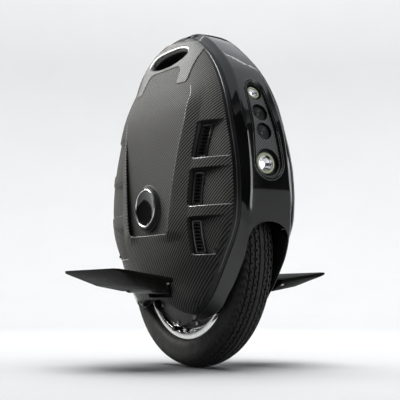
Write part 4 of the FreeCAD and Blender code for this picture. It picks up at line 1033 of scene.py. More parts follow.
_zs = np.concatenate([np.arange(88, 92, 0.25), np.arange(92, 640, 1.0), np.arange(640, 660.01, 0.25)])
E_PH, E_R = polar(outline(EM, _zs, [(14, 660.4 - 0.4), (8, 660.0), (0.0, 660.0)]))
_zs2 = np.concatenate([np.arange(94, 98, 0.25), np.arange(98, 640, 1.0), np.arange(640, 648.01, 0.25)])
S_PH, S_R = polar(outline(XS, _zs2, [(24, 648.9), (16, 649.7), (8, 650.2), (0, 650.4)]))


def e_at(ph):
    r = np.interp(ph, E_PH, E_R)
    return CEN[0] + r * np.cos(ph), CEN[1] + r * np.sin(ph)


def s_at(ph):
    r = np.interp(ph, S_PH, S_R)
    return CEN[0] + r * np.cos(ph), CEN[1] + r * np.sin(ph)


def arch_y(z):
    """Half width of the arch opening at height z."""
    t = np.clip((z - (ARCH_Z - ARCH_RISE)) / ARCH_RISE, 0, 1) ** (1 / 0.8)
    return SLOT_HW * np.sqrt(np.clip(1 - t * t, 0, 1))


def nrm(z):
    dz = 4.0
    s = (EM(z + dz) - EM(z - dz)) / (2 * dz)
    l = np.hypot(1.0, s)
    return 1.0 / l, -s / l


def ph_of_z(z):
    return math.atan2(z - CEN[1], float(EM(z)))


ARCH_PATH = np.concatenate([
    np.stack([np.full(40, SLOT_HW), np.linspace(88.8, ARCH_Z - ARCH_RISE, 40, endpoint=False)], 1),
    np.array([(SLOT_HW * math.cos(t), ARCH_Z - ARCH_RISE + ARCH_RISE * math.sin(t) ** 0.8) for t in np.linspace(0.0, math.pi, 41)]),
    np.stack([np.full(40, -SLOT_HW), np.linspace(ARCH_Z - ARCH_RISE, 88.8, 41)[1:]], 1)])


def band_rows():
    zb = [88.3, 88.8, 89.6, 90.8] + list(np.arange(92.5, 222.0, 3.0))
    zb += [ARCH_Z + 1.7 - (ARCH_RISE + 1.7) * (1 - math.sin(t)) for t in np.linspace(0.02, math.pi / 2, 22)]
    ph = [ph_of_z(z) for z in sorted(zb)]
    ph += list(np.linspace(ph[-1] + 0.01, math.pi / 2, 130))
    return np.array(ph)


def band_half(ph):
    """Half of the band (Y >= 0): points (rows, cols, 3), rows along ph."""
    ex, ez = e_at(ph)
    sx, sz = s_at(ph)
    # at the tip the flank ends where the cover's lower edge begins
    sx = np.where(sz < 103.0, np.maximum(sx, 84.0), sx)
    yg, ys = YG(ez), YS(sz)
    off = 1.6
    zz = np.minimum(ez, ARCH_Z + off)
    t = np.clip((zz - (ARCH_Z - ARCH_RISE)) / (ARCH_RISE + off), 0, 1) ** (1 / 0.8)
    ya = np.where(ez < ARCH_Z + off - 1e-6, (SLOT_HW + off) * np.sqrt(np.clip(1 - t * t, 0, 1)), 0.0)
    nx, nz = nrm(ez)
    rows = []
    c = 2.6
    for i in range(len(ph)):
        crown = lambda y: 0.9 * (y / yg[i]) ** 2
        y_in = max(yg[i] - c, ya[i] + 0.3)
        pts = []
        for k in range(13):
            y = ya[i] + (y_in - ya[i]) * k / 12.0
            pts.append((ex[i] - crown(y) * nx[i], y, ez[i] - crown(y) * nz[i]))
        corner = np.array([ex[i] - 0.9 * nx[i], yg[i], ez[i] - 0.9 * nz[i]])
        p0 = np.array(pts[-1])
        end = np.array([sx[i], ys[i] - 0.9, sz[i]])
        d = (end - corner)
        L = np.linalg.norm(d)
        p2 = corner + d / L * min(c, 0.4 * L)
        for k in range(1, 8):
            u = k / 7.0
            pts.append(tuple((1 - u) ** 2 * p0 + 2 * u * (1 - u) * corner + u * u * p2))
        for k in range(1, 11):
            u = k / 10.0
            q = p2 + (end - p2) * u
            # slightly hollow flank
            bow = 0.5 * math.sin(math.pi * u)
            rad = np.array([math.cos(ph[i]), 0.0, math.sin(ph[i])])
            pts.append(tuple(q - rad * bow))
        rad = np.array([math.cos(ph[i]), 0.0, math.sin(ph[i])])
        for dr, dy in ((0.7, 0.35), (1.6, 0.55), (8.0, 0.6)):
            pts.append(tuple(end - rad * dr + np.array([0, dy, 0])))
        rows.append(pts)
    return np.array(rows)


def hull2(z1, r1, z2, r2, n=26):
    d = z2 - z1
    a = math.asin((r1 - r2) / d)
    pts = []
    for i in range(n + 1):
        t = a + (math.pi - 2 * a) * i / n
        pts.append((r2 * math.cos(t), z2 + r2 * math.sin(t)))
    for i in range(n + 1):
        t = (math.pi - a) + (math.pi + 2 * a) * i / n
        pts.append((r1 * math.cos(t), z1 + r1 * math.sin(t)))
    return np.array(pts)


def front_point(y, z, h):
    """Point on the band's middle face, h above it."""
    nx, nz = nrm(z)
    yg = YG(z)
    k = h - 0.9 * np.minimum(1.0, np.abs(y) / yg) ** 2
    return np.stack([EM(z) + nx * k, y, z + nz * k], -1)


def sweep_front(path, prof, closed=True, rear=False, flip=False):
    nn = path_normals(path, closed)
    pr = np.asarray(prof, float)
    Q = path[:, None, :] + nn[:, None, :] * pr[None, :, 0:1]
    P = front_point(Q[..., 0], Q[..., 1], np.broadcast_to(pr[None, :, 1], Q.shape[:2]))
    f = grid_faces(len(path), len(pr), wrap_r=closed, flip=flip ^ rear)
    if rear:
        P = P * (-1, 1, 1)
    return P.reshape(-1, 3), f


def grid_normals(P):
    du = np.gradient(P, axis=1)
    dv = np.gradient(P, axis=0)
    n = np.cross(du, dv)
    l = np.linalg.norm(n, axis=-1)[..., None]
    return n / np.maximum(l, 1e-9)


LAMP_HULL = hull2(LAMP_LO_Z, BEZ_LO_R - 1.0, LAMP_UP_Z, BEZ_UP_R - 1.0)
TAIL_HULL = hull2(378.0, 23.0, 450.0, 17.0)
REAR_LOW = 118.0


def centre_band():
    ph = band_rows()
    H = band_half(ph)
    split = ph_of_z(SPLIT_Z)
    full = np.concatenate([H[:, :0:-1] * (1, -1, 1), H], 1)
    nc = full.shape[1]
    mid = H.shape[1] - 1
    out = {}
    c = 0.25 * (full[:-1, :-1] + full[:-1, 1:] + full[1:, :-1] + full[1:, 1:])
    upper = 0.5 * (ph[:-1] + ph[1:]) > split
    # the two halves meet at Y = 0 only above the arch
    span = np.zeros(c.shape[:2], bool)
    span[np.abs(full[:-1, mid, 1]) > 0.01, mid - 1] = True
    lamp = inside_poly(c[..., 1], c[..., 2], LAMP_HULL)
    tail = inside_poly(c[..., 1], c[..., 2], TAIL_HULL)
    V = full.reshape(-1, 3)

    def build(name, keep, sx, extra=(), nodes=(), weld=True):
        f = grid_faces(full.shape[0], nc, keep=keep, flip=(sx < 0))
        parts = [(rear_full(V * (sx, 1, 1)), f, 0)] + list(extra)
        VV, FF, MM_ = join(parts)
        o = make(name, VV, FF, [M_GLOSS, M_JOINT_AND_SHADE], MM_, sharp=None)
        bm = bmesh.new()
        bm.from_mesh(o.data)
        bmesh.ops.delete(bm, geom=[v for v in bm.verts if not v.link_faces], context="VERTS")
        bmesh.ops.remove_doubles(bm, verts=bm.verts, dist=2e-5)
        bmesh.ops.dissolve_degenerate(bm, dist=1e-7, edges=bm.edges)
        bm.to_mesh(o.data)
        bm.free()
        o.data.polygons.foreach_set("use_smooth", np.full(len(o.data.polygons), True))
        o.data.set_sharp_from_angle(angle=math.radians(42))
        return o
    arch_lip = [(1.6, 0.0), (1.0, -0.08), (0.5, -0.35), (0.15, -0.8), (0.0, -1.6), (0.0, -5.0), (0.0, -14.0)]
    lipf = sweep_front(ARCH_PATH, arch_lip, closed=False, flip=True)
    # the rear piece ends level with the covers' lower edge
    lipr = sweep_front(ARCH_PATH[ARCH_PATH[:, 1] > REAR_LOW - 0.5], arch_lip, closed=False, rear=True, flip=True)
    i0 = int(np.searchsorted(full[:, mid, 2], REAR_LOW))
    tip = np.zeros(c.shape[:2], bool)
    tip[:i0] = True
    rad = np.array([-math.cos(ph[i0]), 0.0, math.sin(ph[i0])])
    E = full[i0] * (-1, 1, 1)
    turn = np.stack([E, E - rad * 0.8 + (0, 0, -0.5), E - rad * 12.0 + (0, 0, 0.5)], 0)
    keep = np.ones((2, nc - 1), bool)
    keep[:, mid - 1] = False
    under = (turn.reshape(-1, 3), grid_faces(3, nc, keep=keep), 0)
    rowsU = upper[:, None] & np.ones(c.shape[:2], bool)
    f = build("front_fascia", ~rowsU & ~lamp & ~span, 1, [(lipf[0], lipf[1], 0)])
    piece(f, "chassis", ["front_fascia"])
    port = np.hypot(c[..., 1], (c[..., 2] - PORT_Z) * 1.15) < 10.5
    btn = np.hypot(c[..., 1], (c[..., 2] - BUTTON_Z) * 1.2) < 7.5
    r = build("rear_fascia", ~rowsU & ~tail & ~port & ~btn & ~span & ~tip, -1, [(lipr[0], lipr[1], 0), under])
    piece(r, "chassis", ["rear_fascia"])
    Vr = rear_full(V * (-1, 1, 1))
    fu = grid_faces(full.shape[0], nc, keep=rowsU)
    fb = grid_faces(full.shape[0], nc, keep=rowsU, flip=True)
    VV, FF, MM_ = join([(V, fu, 0), (Vr, fb, 0)])
    o = make("top_bridge", VV, FF, [M_GLOSS], MM_, sharp=None)
    bm = bmesh.new()
    bm.from_mesh(o.data)
    bmesh.ops.delete(bm, geom=[v for v in bm.verts if not v.link_faces], context="VERTS")
    bmesh.ops.remove_doubles(bm, verts=bm.verts, dist=2e-5)
    bm.to_mesh(o.data)
    bm.free()
    o.data.polygons.foreach_set("use_smooth", np.full(len(o.data.polygons), True))
    o.data.set_sharp_from_angle(angle=math.radians(42))
    piece(o, "chassis", ["top_bridge"])
    return f, r, o


# ------------------------------------------------------------------ front lamp cluster
def disc_x(x, z, r, segs=64, sx=1):
    a = np.linspace(0, 2 * math.pi, segs, endpoint=False)
    v = [(x, 0, z)] + [(x, r * math.cos(t), z + r * math.sin(t)) for t in a]
    f = [(0, 1 + i, 1 + (i + 1) % segs) for i in range(segs)]
    return np.array(v), f


def turn_x(prof, z, segs=72, y0=0.0, d=(1, 0, 0), o=None):
    """(radius, along) points turned about a line along d through o."""
    a = np.linspace(0, 2 * math.pi, segs, endpoint=False)
    d = np.array(d, float)
    u = np.array([0.0, 1.0, 0.0])
    v = np.cross(d, u)
    o = np.array([0.0, y0, z]) if o is None else np.array(o, float)
    p = np.asarray(prof, float)
    P = (o[None, None] + d[None, None] * p[None, :, 1, None]
         + (u[None, None] * np.cos(a)[:, None, None] + v[None, None] * np.sin(a)[:, None, None]) * p[None, :, 0, None])
    return P.reshape(-1, 3), grid_faces(segs, len(p), wrap_r=True)


WELL_LO, WELL_UP, SPK_H = 25.6, 16.2, 16.4


def lamp_cluster():
    leds = []
    path = hull2(LAMP_LO_Z, BEZ_LO_R, LAMP_UP_Z, BEZ_UP_R)
    path = densify(path, 3.0)
    prof = [(1.0, -0.6), (0.9, 0.35), (0.45, 1.1), (-0.35, 1.5), (-1.1, 1.3), (-1.6, 0.6), (-1.95, -0.2), (-2.3, -0.35), (-2.7, 0.1), (-3.2, 1.0),
            (-3.9, 1.55), (-4.7, 1.4), (-5.4, 0.7), (-5.9, -0.5), (-6.15, -2.0), (-6.2, -4.6)]
    v, f = sweep_front(path, prof, flip=True)
    b = make("lamp_bezel", v, f, [M_GLOSS], sharp=60.0)
    piece(b, "chassis", ["lamp_bezel"])
    # sunk insert with four round openings
    edge = densify(hull2(LAMP_LO_Z, BEZ_LO_R - 6.0, LAMP_UP_Z, BEZ_UP_R - 6.0), 2.0)
    holes = [(LAMP_LO_Z, WELL_LO, 9.6), (LAMP_UP_Z, WELL_UP, 9.6), (SPK_Z[0], SPK_H, 7.0), (SPK_Z[1], SPK_H, 7.0)]
    pts, ed = [tuple(p) for p in edge], [(i, (i + 1) % len(edge)) for i in range(len(edge))]
    for z, r, _ in holes:
        n0 = len(pts)
        pts += [(r * math.cos(t), z + r * math.sin(t)) for t in np.linspace(0, 2 * math.pi, 72, endpoint=False)]
        ed += [(n0 + i, n0 + (i + 1) % 72) for i in range(72)]
    gy, gz = np.meshgrid(np.arange(-28, 29, 2.5), np.arange(340, 545, 2.5), indexing="ij")
    gy, gz = gy.ravel(), gz.ravel()
    ok = inside_poly(gy, gz, edge)
    for z, r, _ in holes:
        ok &= np.hypot(gy, gz - z) > r + 1.0
    pts += list(zip(gy[ok], gz[ok]))
    vo, _, fo, *_ = delaunay_2d_cdt([Vector(p) for p in pts], ed, [], 0, 1e-5)
    vo, fo = np.array([tuple(q) for q in vo]), np.array(fo)
    c = vo[fo].mean(1)
    good = inside_poly(c[:, 0], c[:, 1], edge)
    for z, r, _ in holes:
        good &= np.hypot(c[:, 0], c[:, 1] - z) > r * 0.998
    fo = fo[good]
    a, b_, d = vo[fo[:, 0]], vo[fo[:, 1]], vo[fo[:, 2]]
    area = (b_[:, 0] - a[:, 0]) * (d[:, 1] - a[:, 1]) - (b_[:, 1] - a[:, 1]) * (d[:, 0] - a[:, 0])
    fo[area < 0] = fo[area < 0][:, ::-1]
    top = front_point(vo[:, 0], vo[:, 1], np.full(len(vo), -4.0))
    parts = [(top, fo, 0)]
    # rounded mouths of the wells and their walls
    for z, r, dep in holes:
        ring = np.array([(r * math.cos(t), z + r * math.sin(t)) for t in np.linspace(0, 2 * math.pi, 72, endpoint=False)])
        pr = [(0.0, -4.0), (-0.25, -4.05), (-0.55, -4.25), (-0.75, -4.7), (-0.8, -5.6), (-0.9, -4.0 - dep)]
        vv, ff = sweep_front(ring, pr, flip=True)
        parts.append((vv, ff, 1))
    V, F, M = join(parts)
    p = make("lamp_panel", V, F, [M_INSERT, M_WALL_BLACK_SHADE], M, sharp=50.0)
    bm = bmesh.new()
    bm.from_mesh(p.data)
    bmesh.ops.remove_doubles(bm, verts=bm.verts, dist=2e-5)
    bm.to_mesh(p.data)
    bm.free()
    piece(p, "chassis", ["lamp_panel"])
    # lamps: floor of the well, pale metal ring, bright bowl, chip and lens
    for nm, z, r, wr, dep in (("lower", LAMP_LO_Z, 19.4, WELL_LO - 0.9, 12.6), ("upper", LAMP_UP_Z, 12.2, WELL_UP - 0.9, 8.6)):
        nx, nz = (float(q) for q in nrm(z))
        d = np.array([nx, 0.0, nz])
        o0 = np.array([float(EM(z)), 0.0, z]) - d * dep
        tube = [(wr, 0.6), (wr - 0.8, 0.1), (r + 1.4, -0.3), (r + 0.4, -0.5)]
        th = 0.22 * r
        rim = [(r + 0.4, -0.5), (r + 0.3, 1.4), (r - 0.1, 2.3), (r - 0.8, 2.8), (r - 0.7 * th, 2.7), (r - th, 2.0), (r - th - 0.2, 1.2)]
        bowl = []
        R0, dp = r - th - 0.2, 0.55 * r
        for k in range(17):
            t = k / 16.0
            q = R0 * (1 - t) + 2.6 * t
            bowl.append((q, 1.2 - dp * (1 - (q / R0) ** 2)))
        v1, f1 = turn_x(tube, z, 96, d=d, o=o0)
        v2, f2 = turn_x(rim, z, 96, d=d, o=o0)
        v3, f3 = turn_x(bowl, z, 96, d=d, o=o0)
        V, F, M = join([(v1, f1, 0), (v2, f2, 1), (v3, f3, 2)])
        o = make(nm + "_lamp_reflector", V, F, [M_WALL_BLACK_SHADE, M_LAMPRING, M_REFLECT], M, sharp=50.0)
        piece(o, "chassis", [nm + "_lamp_reflector"])
        lens = [(0.001, 2.5), (R0 * 0.4, 2.3), (R0 * 0.8, 1.8), (R0 + 0.3, 1.25), (R0 + 0.3, 0.7), (R0 * 0.8, 0.75), (0.001, 0.75)]
        v, f = turn_x(lens, z, 96, d=d, o=o0)
        g = outward(make(nm + "_lamp_lens", v, f, [M_GLASS], sharp=40.0))
        piece(g, "chassis", [nm + "_lamp_lens"])
        leds.append((z, d, o0 - d * (dp - 1.2), 0.34 * r))
    parts = []
    for z, d, q, r in leds:
        v, f = turn_x([(0.001, 2.6), (r * 0.45, 2.4), (r * 0.8, 1.6), (r, 0.3), (r * 1.25, 0.2), (r * 1.25, -1.2)], z, 48, d=d, o=q)
        parts.append((v, f, 0))
    V, F, M = join(parts)
    o = outward(make("lamp_leds", V, F, [M_LED], M, sharp=50.0))
    piece(o, "chassis", ["lamp_leds"])
    # speakers sunk in their wells, with a ringed cone and a domed middle
    parts = []
    R = SPK_H - 0.9
    for z in SPK_Z:
        nx, nz = (float(q) for q in nrm(z))
        d = np.array([nx, 0.0, nz])
        p0 = np.array([float(EM(z)), 0.0, z]) - d * 10.4
        prof = [(R, -0.8), (R - 0.1, 0.2), (R - 0.6, 0.75), (R - 1.8, 0.8), (R - 2.4, 0.3)]
        v, f = turn_x(prof, z, 96, d=d, o=p0)
        parts.append((v, f, 0))
        face = [(R - 2.4, 0.3), (R - 2.8, -0.5), (R - 3.6, -0.6), (R - 4.2, 0.1), (R - 4.9, 0.15), (R - 5.5, -0.7), (R - 6.2, -0.8), (R - 6.8, -0.1), (R - 7.5, -0.1),
                (R - 8.1, -1.0), (R - 8.9, -1.2), (5.6, -1.2), (5.2, -0.2), (4.2, 0.4), (2.6, 0.8), (1.2, 0.95), (0.001, 1.0)]
        v, f = turn_x(face, z, 96, d=d, o=p0)
        parts.append((v, f, 1))
    V, F, M = join(parts)
    o = make("front_speakers", V, F, [M_PLASTIC, M_SPK], M, sharp=50.0)
    piece(o, "chassis", ["front_speakers"])


# ------------------------------------------------------------------ rear: tail lamp, charge port, power button
def rear_parts():
    path = densify(hull2(378.0, 24.0, 450.0, 18.0), 3.0)
    prof = [(1.2, -0.5), (1.1, 0.2), (0.7, 0.7), (0.0, 0.85), (-0.6, 0.6), (-0.9, -0.2), (-1.0, -3.0)]
    v, f = sweep_front(path, prof, rear=True, flip=True)
    h = make("tail_lamp_housing", v, f, [M_PLASTIC], sharp=50.0)
    piece(h, "chassis", ["tail_lamp_housing"])
    edge = densify(hull2(378.0, 22.9, 450.0, 16.9), 3.0)
    pts, ed = [tuple(p) for p in edge], [(i, (i + 1) % len(edge)) for i in range(len(edge))]
    gy, gz = np.meshgrid(np.arange(-22, 23, 2.5), np.arange(354, 470, 2.5), indexing="ij")
    gy, gz = gy.ravel(), gz.ravel()
    ok = inside_poly(gy, gz, densify(hull2(378.0, 21.6, 450.0, 15.6), 3.0))
    pts += list(zip(gy[ok], gz[ok]))
    vo, _, fo, *_ = delaunay_2d_cdt([Vector(p) for p in pts], ed, [], 0, 1e-5)
    vo, fo = np.array([tuple(q) for q in vo]), np.array(fo)
    c = vo[fo].mean(1)
    fo = fo[inside_poly(c[:, 0], c[:, 1], edge)]
    a, b_, d = vo[fo[:, 0]], vo[fo[:, 1]], vo[fo[:, 2]]
    area = (b_[:, 0] - a[:, 0]) * (d[:, 1] - a[:, 1]) - (b_[:, 1] - a[:, 1]) * (d[:, 0] - a[:, 0])
    fo[area > 0] = fo[area > 0][:, ::-1]
    rr = np.clip((vo[:, 1] - 378.0) / 72.0, 0, 1)
    half = 22.9 * (1 - rr) + 16.9 * rr
    dd = np.hypot(vo[:, 0], np.where(vo[:, 1] < 378, vo[:, 1] - 378, np.where(vo[:, 1] > 450, vo[:, 1] - 450, 0)))
    lift = -0.5 + 0.5 * np.sqrt(np.clip(1 - (dd / half) ** 4, 0, 1))
    P = front_point(vo[:, 0], vo[:, 1], lift) * (-1, 1, 1)
    l = make("tail_lamp_lens", P, fo, [M_RED], sharp=None)
    piece(l, "chassis", ["tail_lamp_lens"])
    # charge socket
    nx, nz = (float(q) for q in nrm(PORT_Z))
    n = np.array([-nx, 0, nz])
    t = np.array([n[2], 0.0, -n[0]])
    p0 = np.array([-float(EM(PORT_Z)), 0.0, PORT_Z])
    prof = [(7.4, -15.0), (7.4, -8.0), (8.0, -8.0), (8.0, 1.2), (8.4, 1.8), (12.3, 1.95), (12.9, 1.6), (13.0, 0.9), (13.0, -1.5)]
    v, f = turn_x(prof, 0, 80, d=n, o=p0)
    parts = [(v, f, 0)]
    v, f = turn_x([(7.4, -15.0), (4.0, -15.0), (0.001, -15.0)], 0, 60, d=n, o=p0)
    parts.append((v, f, 1))
    for a in (0.0, 2 * math.pi / 3, 4 * math.pi / 3):
        q = p0 + 3.4 * (math.cos(a) * t + math.sin(a) * np.array([0, 1.0, 0]))
        v, f = turn_x([(1.0, -15.0), (1.0, -9.6), (0.6, -9.1), (0.001, -9.0)], 0, 16, d=n, o=q)
        parts.append((v, f, 0))
    V, F, M = join(parts)
    o = outward(make("charge_socket", V, F, [M_STEEL, M_JOINT_AND_SHADE], M, sharp=40.0))
    piece(o, "chassis", ["charge_socket"])
    # rubber cap with a finger lip, on its hinge
    prof = [(0.001, 2.45), (12.6, 2.45), (12.95, 2.7), (13.0, 3.6), (12.6, 4.4), (11.8, 4.75), (9.0, 4.75), (8.4, 4.35), (7.4, 4.3), (6.8, 4.7), (0.001, 4.78)]
    v, f = turn_x(prof, 0, 80, d=n, o=p0)
    parts = [(v, f, 0)]
    hp = p0 + n * 3.6 + t * 16.5
    v, f = turn_x([(1.0, -5.0), (1.9, -5.0), (2.0, -4.7), (2.0, 4.7), (1.9, 5.0), (1.0, 5.0)], 0, 32, d=(0, 1, 0), o=hp)
    a = np.linspace(0, 2 * math.pi, 32, endpoint=False)
    ry = [(1.02, -5.0), (1.8, -5.0), (2.0, -4.8), (2.0, 4.8), (1.8, 5.0), (1.02, 5.0)]
    P = np.stack([hp[None] + t[None] * r * np.cos(a)[:, None] + n[None] * r * np.sin(a)[:, None] + np.array([0, y, 0])[None] for r, y in ry], 1)
    parts.append((P.reshape(-1, 3), grid_faces(32, len(ry), wrap_r=True, wrap_c=True), 0))
    Mx = np.stack([t, [0, 1, 0], n], 1)
    cc = p0 + n * 3.55 + t * 13.4
    v, f = box_mesh(cc[0], cc[1], cc[2], 4.2, 9.2, 2.0, Mx)
    parts.append((v, f, 0))
    cc = p0 + n * 3.75 - t * 11.6
    v, f = box_mesh(cc[0], cc[1], cc[2], 2.4, 7.0, 1.9, Mx)
    parts.append((v, f, 0))
    V, F, M = join(parts)
    o = outward(make("charge_cap", V, F, [M_RUBBER], M, sharp=40.0))
    piece(o, "charge_cap", ["charge_cap"])
    # hinge lugs of the cap, on the fascia
    parts = []
    for y0 in (-9.0, 5.4):
        ry = [(0.001, y0), (1.8, y0), (2.0, y0 + 0.2), (2.0, y0 + 3.4), (1.8, y0 + 3.6), (0.001, y0 + 3.6)]
        P = np.stack([hp[None] + t[None] * r * np.cos(a)[:, None] + n[None] * r * np.sin(a)[:, None] + np.array([0, y, 0])[None] for r, y in ry], 1)
        parts.append((P.reshape(-1, 3), grid_faces(32, len(ry), wrap_r=True), 0))
        cc = hp - n * 3.0 + np.array([0, y0 + 1.8, 0])
        v, f = box_mesh(cc[0], cc[1], cc[2], 4.0, 3.6, 6.0, Mx)
        parts.append((v, f, 0))
    ry = [(0.001, -9.2), (0.95, -9.2), (0.95, 9.2), (0.001, 9.2)]
    P = np.stack([hp[None] + t[None] * r * np.cos(a)[:, None] + n[None] * r * np.sin(a)[:, None] + np.array([0, y, 0])[None] for r, y in ry], 1)
    parts.append((P.reshape(-1, 3), grid_faces(32, len(ry), wrap_r=True), 0))
    V, F, M = join(parts)
    o = outward(make("cap_hinge", V, F, [M_PLASTIC], M, sharp=40.0))
    piece(o, "chassis")
    # power button with its collar
    nx, nz = (float(q) for q in nrm(BUTTON_Z))
    n = np.array([-nx, 0, nz])
    p0 = np.array([-float(EM(BUTTON_Z)), 0.0, BUTTON_Z])
    v, f = turn_x([(6.5, -8.0), (6.5, 1.7), (6.25, 2.2), (5.6, 2.5), (4.2, 2.4), (2.0, 2.1), (0.001, 2.0)], 0, 64, d=n, o=p0)
    o = outward(make("power_button", v, f, [M_STEEL], sharp=50.0))
    piece(o, "power_button", ["power_button"])
    v, f = turn_x([(6.9, -6.0), (6.9, 0.9), (7.2, 1.5), (8.0, 1.75), (9.2, 1.5), (9.6, 0.8), (9.6, -3.0)], 0, 64, d=n, o=p0)
    o = outward(make("button_collar", v, f, [M_PLASTIC], sharp=50.0))
    piece(o, "chassis")


# ------------------------------------------------------------------ wheel
def tyre():
    prof = [(153.0, 21.8), (160.0, 22.0), (162.6, 23.2), (163.2, 26.5), (164.2, 30.2), (166.5, 32.8), (168.0, 33.4), (168.6, 33.2), (169.4, 33.9), (170.6, 34.6), (174.0, 35.4),
            (178.0, 35.85), (182.0, 36.0), (186.0, 36.0), (190.0, 35.9), (193.0, 35.5), (194.0, 35.2), (195.0, 35.1)]
    crown_t = pchip([(0, 215.0), (6, 214.75), (11, 214.0), (16, 212.9), (21.5, 210.9), (26, 208.5), (29.5, 205.9), (32, 202.6), (34, 198.8), (35, 195.2)])
    # edges over the crown (half): y positions and groove flags
    ed = [0.0, 2.0, 3.9, 4.5, 6.2, 6.8, 8.4, 10.0, 11.6, 13.2, 13.8, 15.5, 16.1, 17.6, 19.2, 20.8, 22.2, 22.8, 24.2, 24.8, 26.2, 27.6, 29.0, 30.2, 31.3, 32.3, 33.2, 34.0, 34.6, 35.0]
    ys = np.array(ed)
    NP, SEG = 84, 8
    fr = np.array([0.0, 0.06, 0.24, 0.30, 0.5, 0.56, 0.74, 0.80])
    ang = (np.arange(NP)[:, None] + fr[None, :]).ravel() / NP * 2 * math.pi
    ph = np.tile(fr, NP)
    pitch = 2 * math.pi / NP

    def half(sgn):
        r = crown_t(ys)
        A = np.repeat(ang[:, None], len(ys), 1)
        F = np.repeat(ph[:, None], len(ys), 1)
        Y = np.repeat(ys[None], len(ang), 0)
        d = np.zeros_like(A)
        groove = ((Y > 4.4) & (Y < 6.3)) | ((Y > 13.7) & (Y < 15.6)) | ((Y > 22.7) & (Y < 24.3))
        d = np.where(groove, 4.0, d)
        n1 = (F > 0.05) & (F < 0.25)
        n2 = (F > 0.55) & (F < 0.75)
        if sgn < 0:
            n1, n2 = n2, n1
        d = np.where((Y > 6.3) & (Y < 9.0) & n1, 3.4, d)
        d = np.where((Y > 10.8) & (Y < 13.7) & n2, 3.4, d)
        d = np.where((Y > 15.6) & (Y < 18.0) & n2, 3.2, d)
        d = np.where((Y > 20.2) & (Y < 22.7) & n1, 3.2, d)
        d = np.where((Y > 25.5) & (Y < 33.6) & n1, 2.3, d)
        # the lugs of the shoulder run on a zigzag
        zig = np.interp(Y, [0, 24.2, 26.2, 29.0, 31.3, 35.0], [0, 0, 0.0, 0.55, 0.15, 0.6]) * pitch
        slant = np.interp(Y, [0, 6.2, 13.8, 16.1, 22.7, 24.2], [0, 0, 0.18, 0.0, 0.2, 0.0]) * pitch
        A = A + zig + slant
        R = r[None] - d
        return R, Y * sgn, A
    Rr, Yr, Ar = half(-1)
    Rl, Yl, Al = half(1)
    pr = np.array(prof)
    side_r = np.repeat(pr[None, :, 0], len(ang), 0)
    side_y = np.repeat(pr[None, :, 1], len(ang), 0)
    side_a = np.repeat(ang[:, None], len(pr), 1) + 0.6 * pitch
    R = np.concatenate([side_r, Rr[:, ::-1], Rl[:, 1:], side_r[:, ::-1]], 1)
    Y = np.concatenate([-side_y, Yr[:, ::-1], Yl[:, 1:], side_y[:, ::-1]], 1)
    A = np.concatenate([side_a, Ar[:, ::-1], Al[:, 1:], side_a[:, ::-1]], 1)
    P = np.stack([R * np.cos(A), Y, AXLE_Z + R * np.sin(A)], -1)
    f = grid_faces(P.shape[0], P.shape[1], wrap_r=True, flip=True)
    o = make("tyre", P.reshape(-1, 3), f, [M_TYRE], sharp=40.0)
    return piece(o, "wheel", ["tyre"])


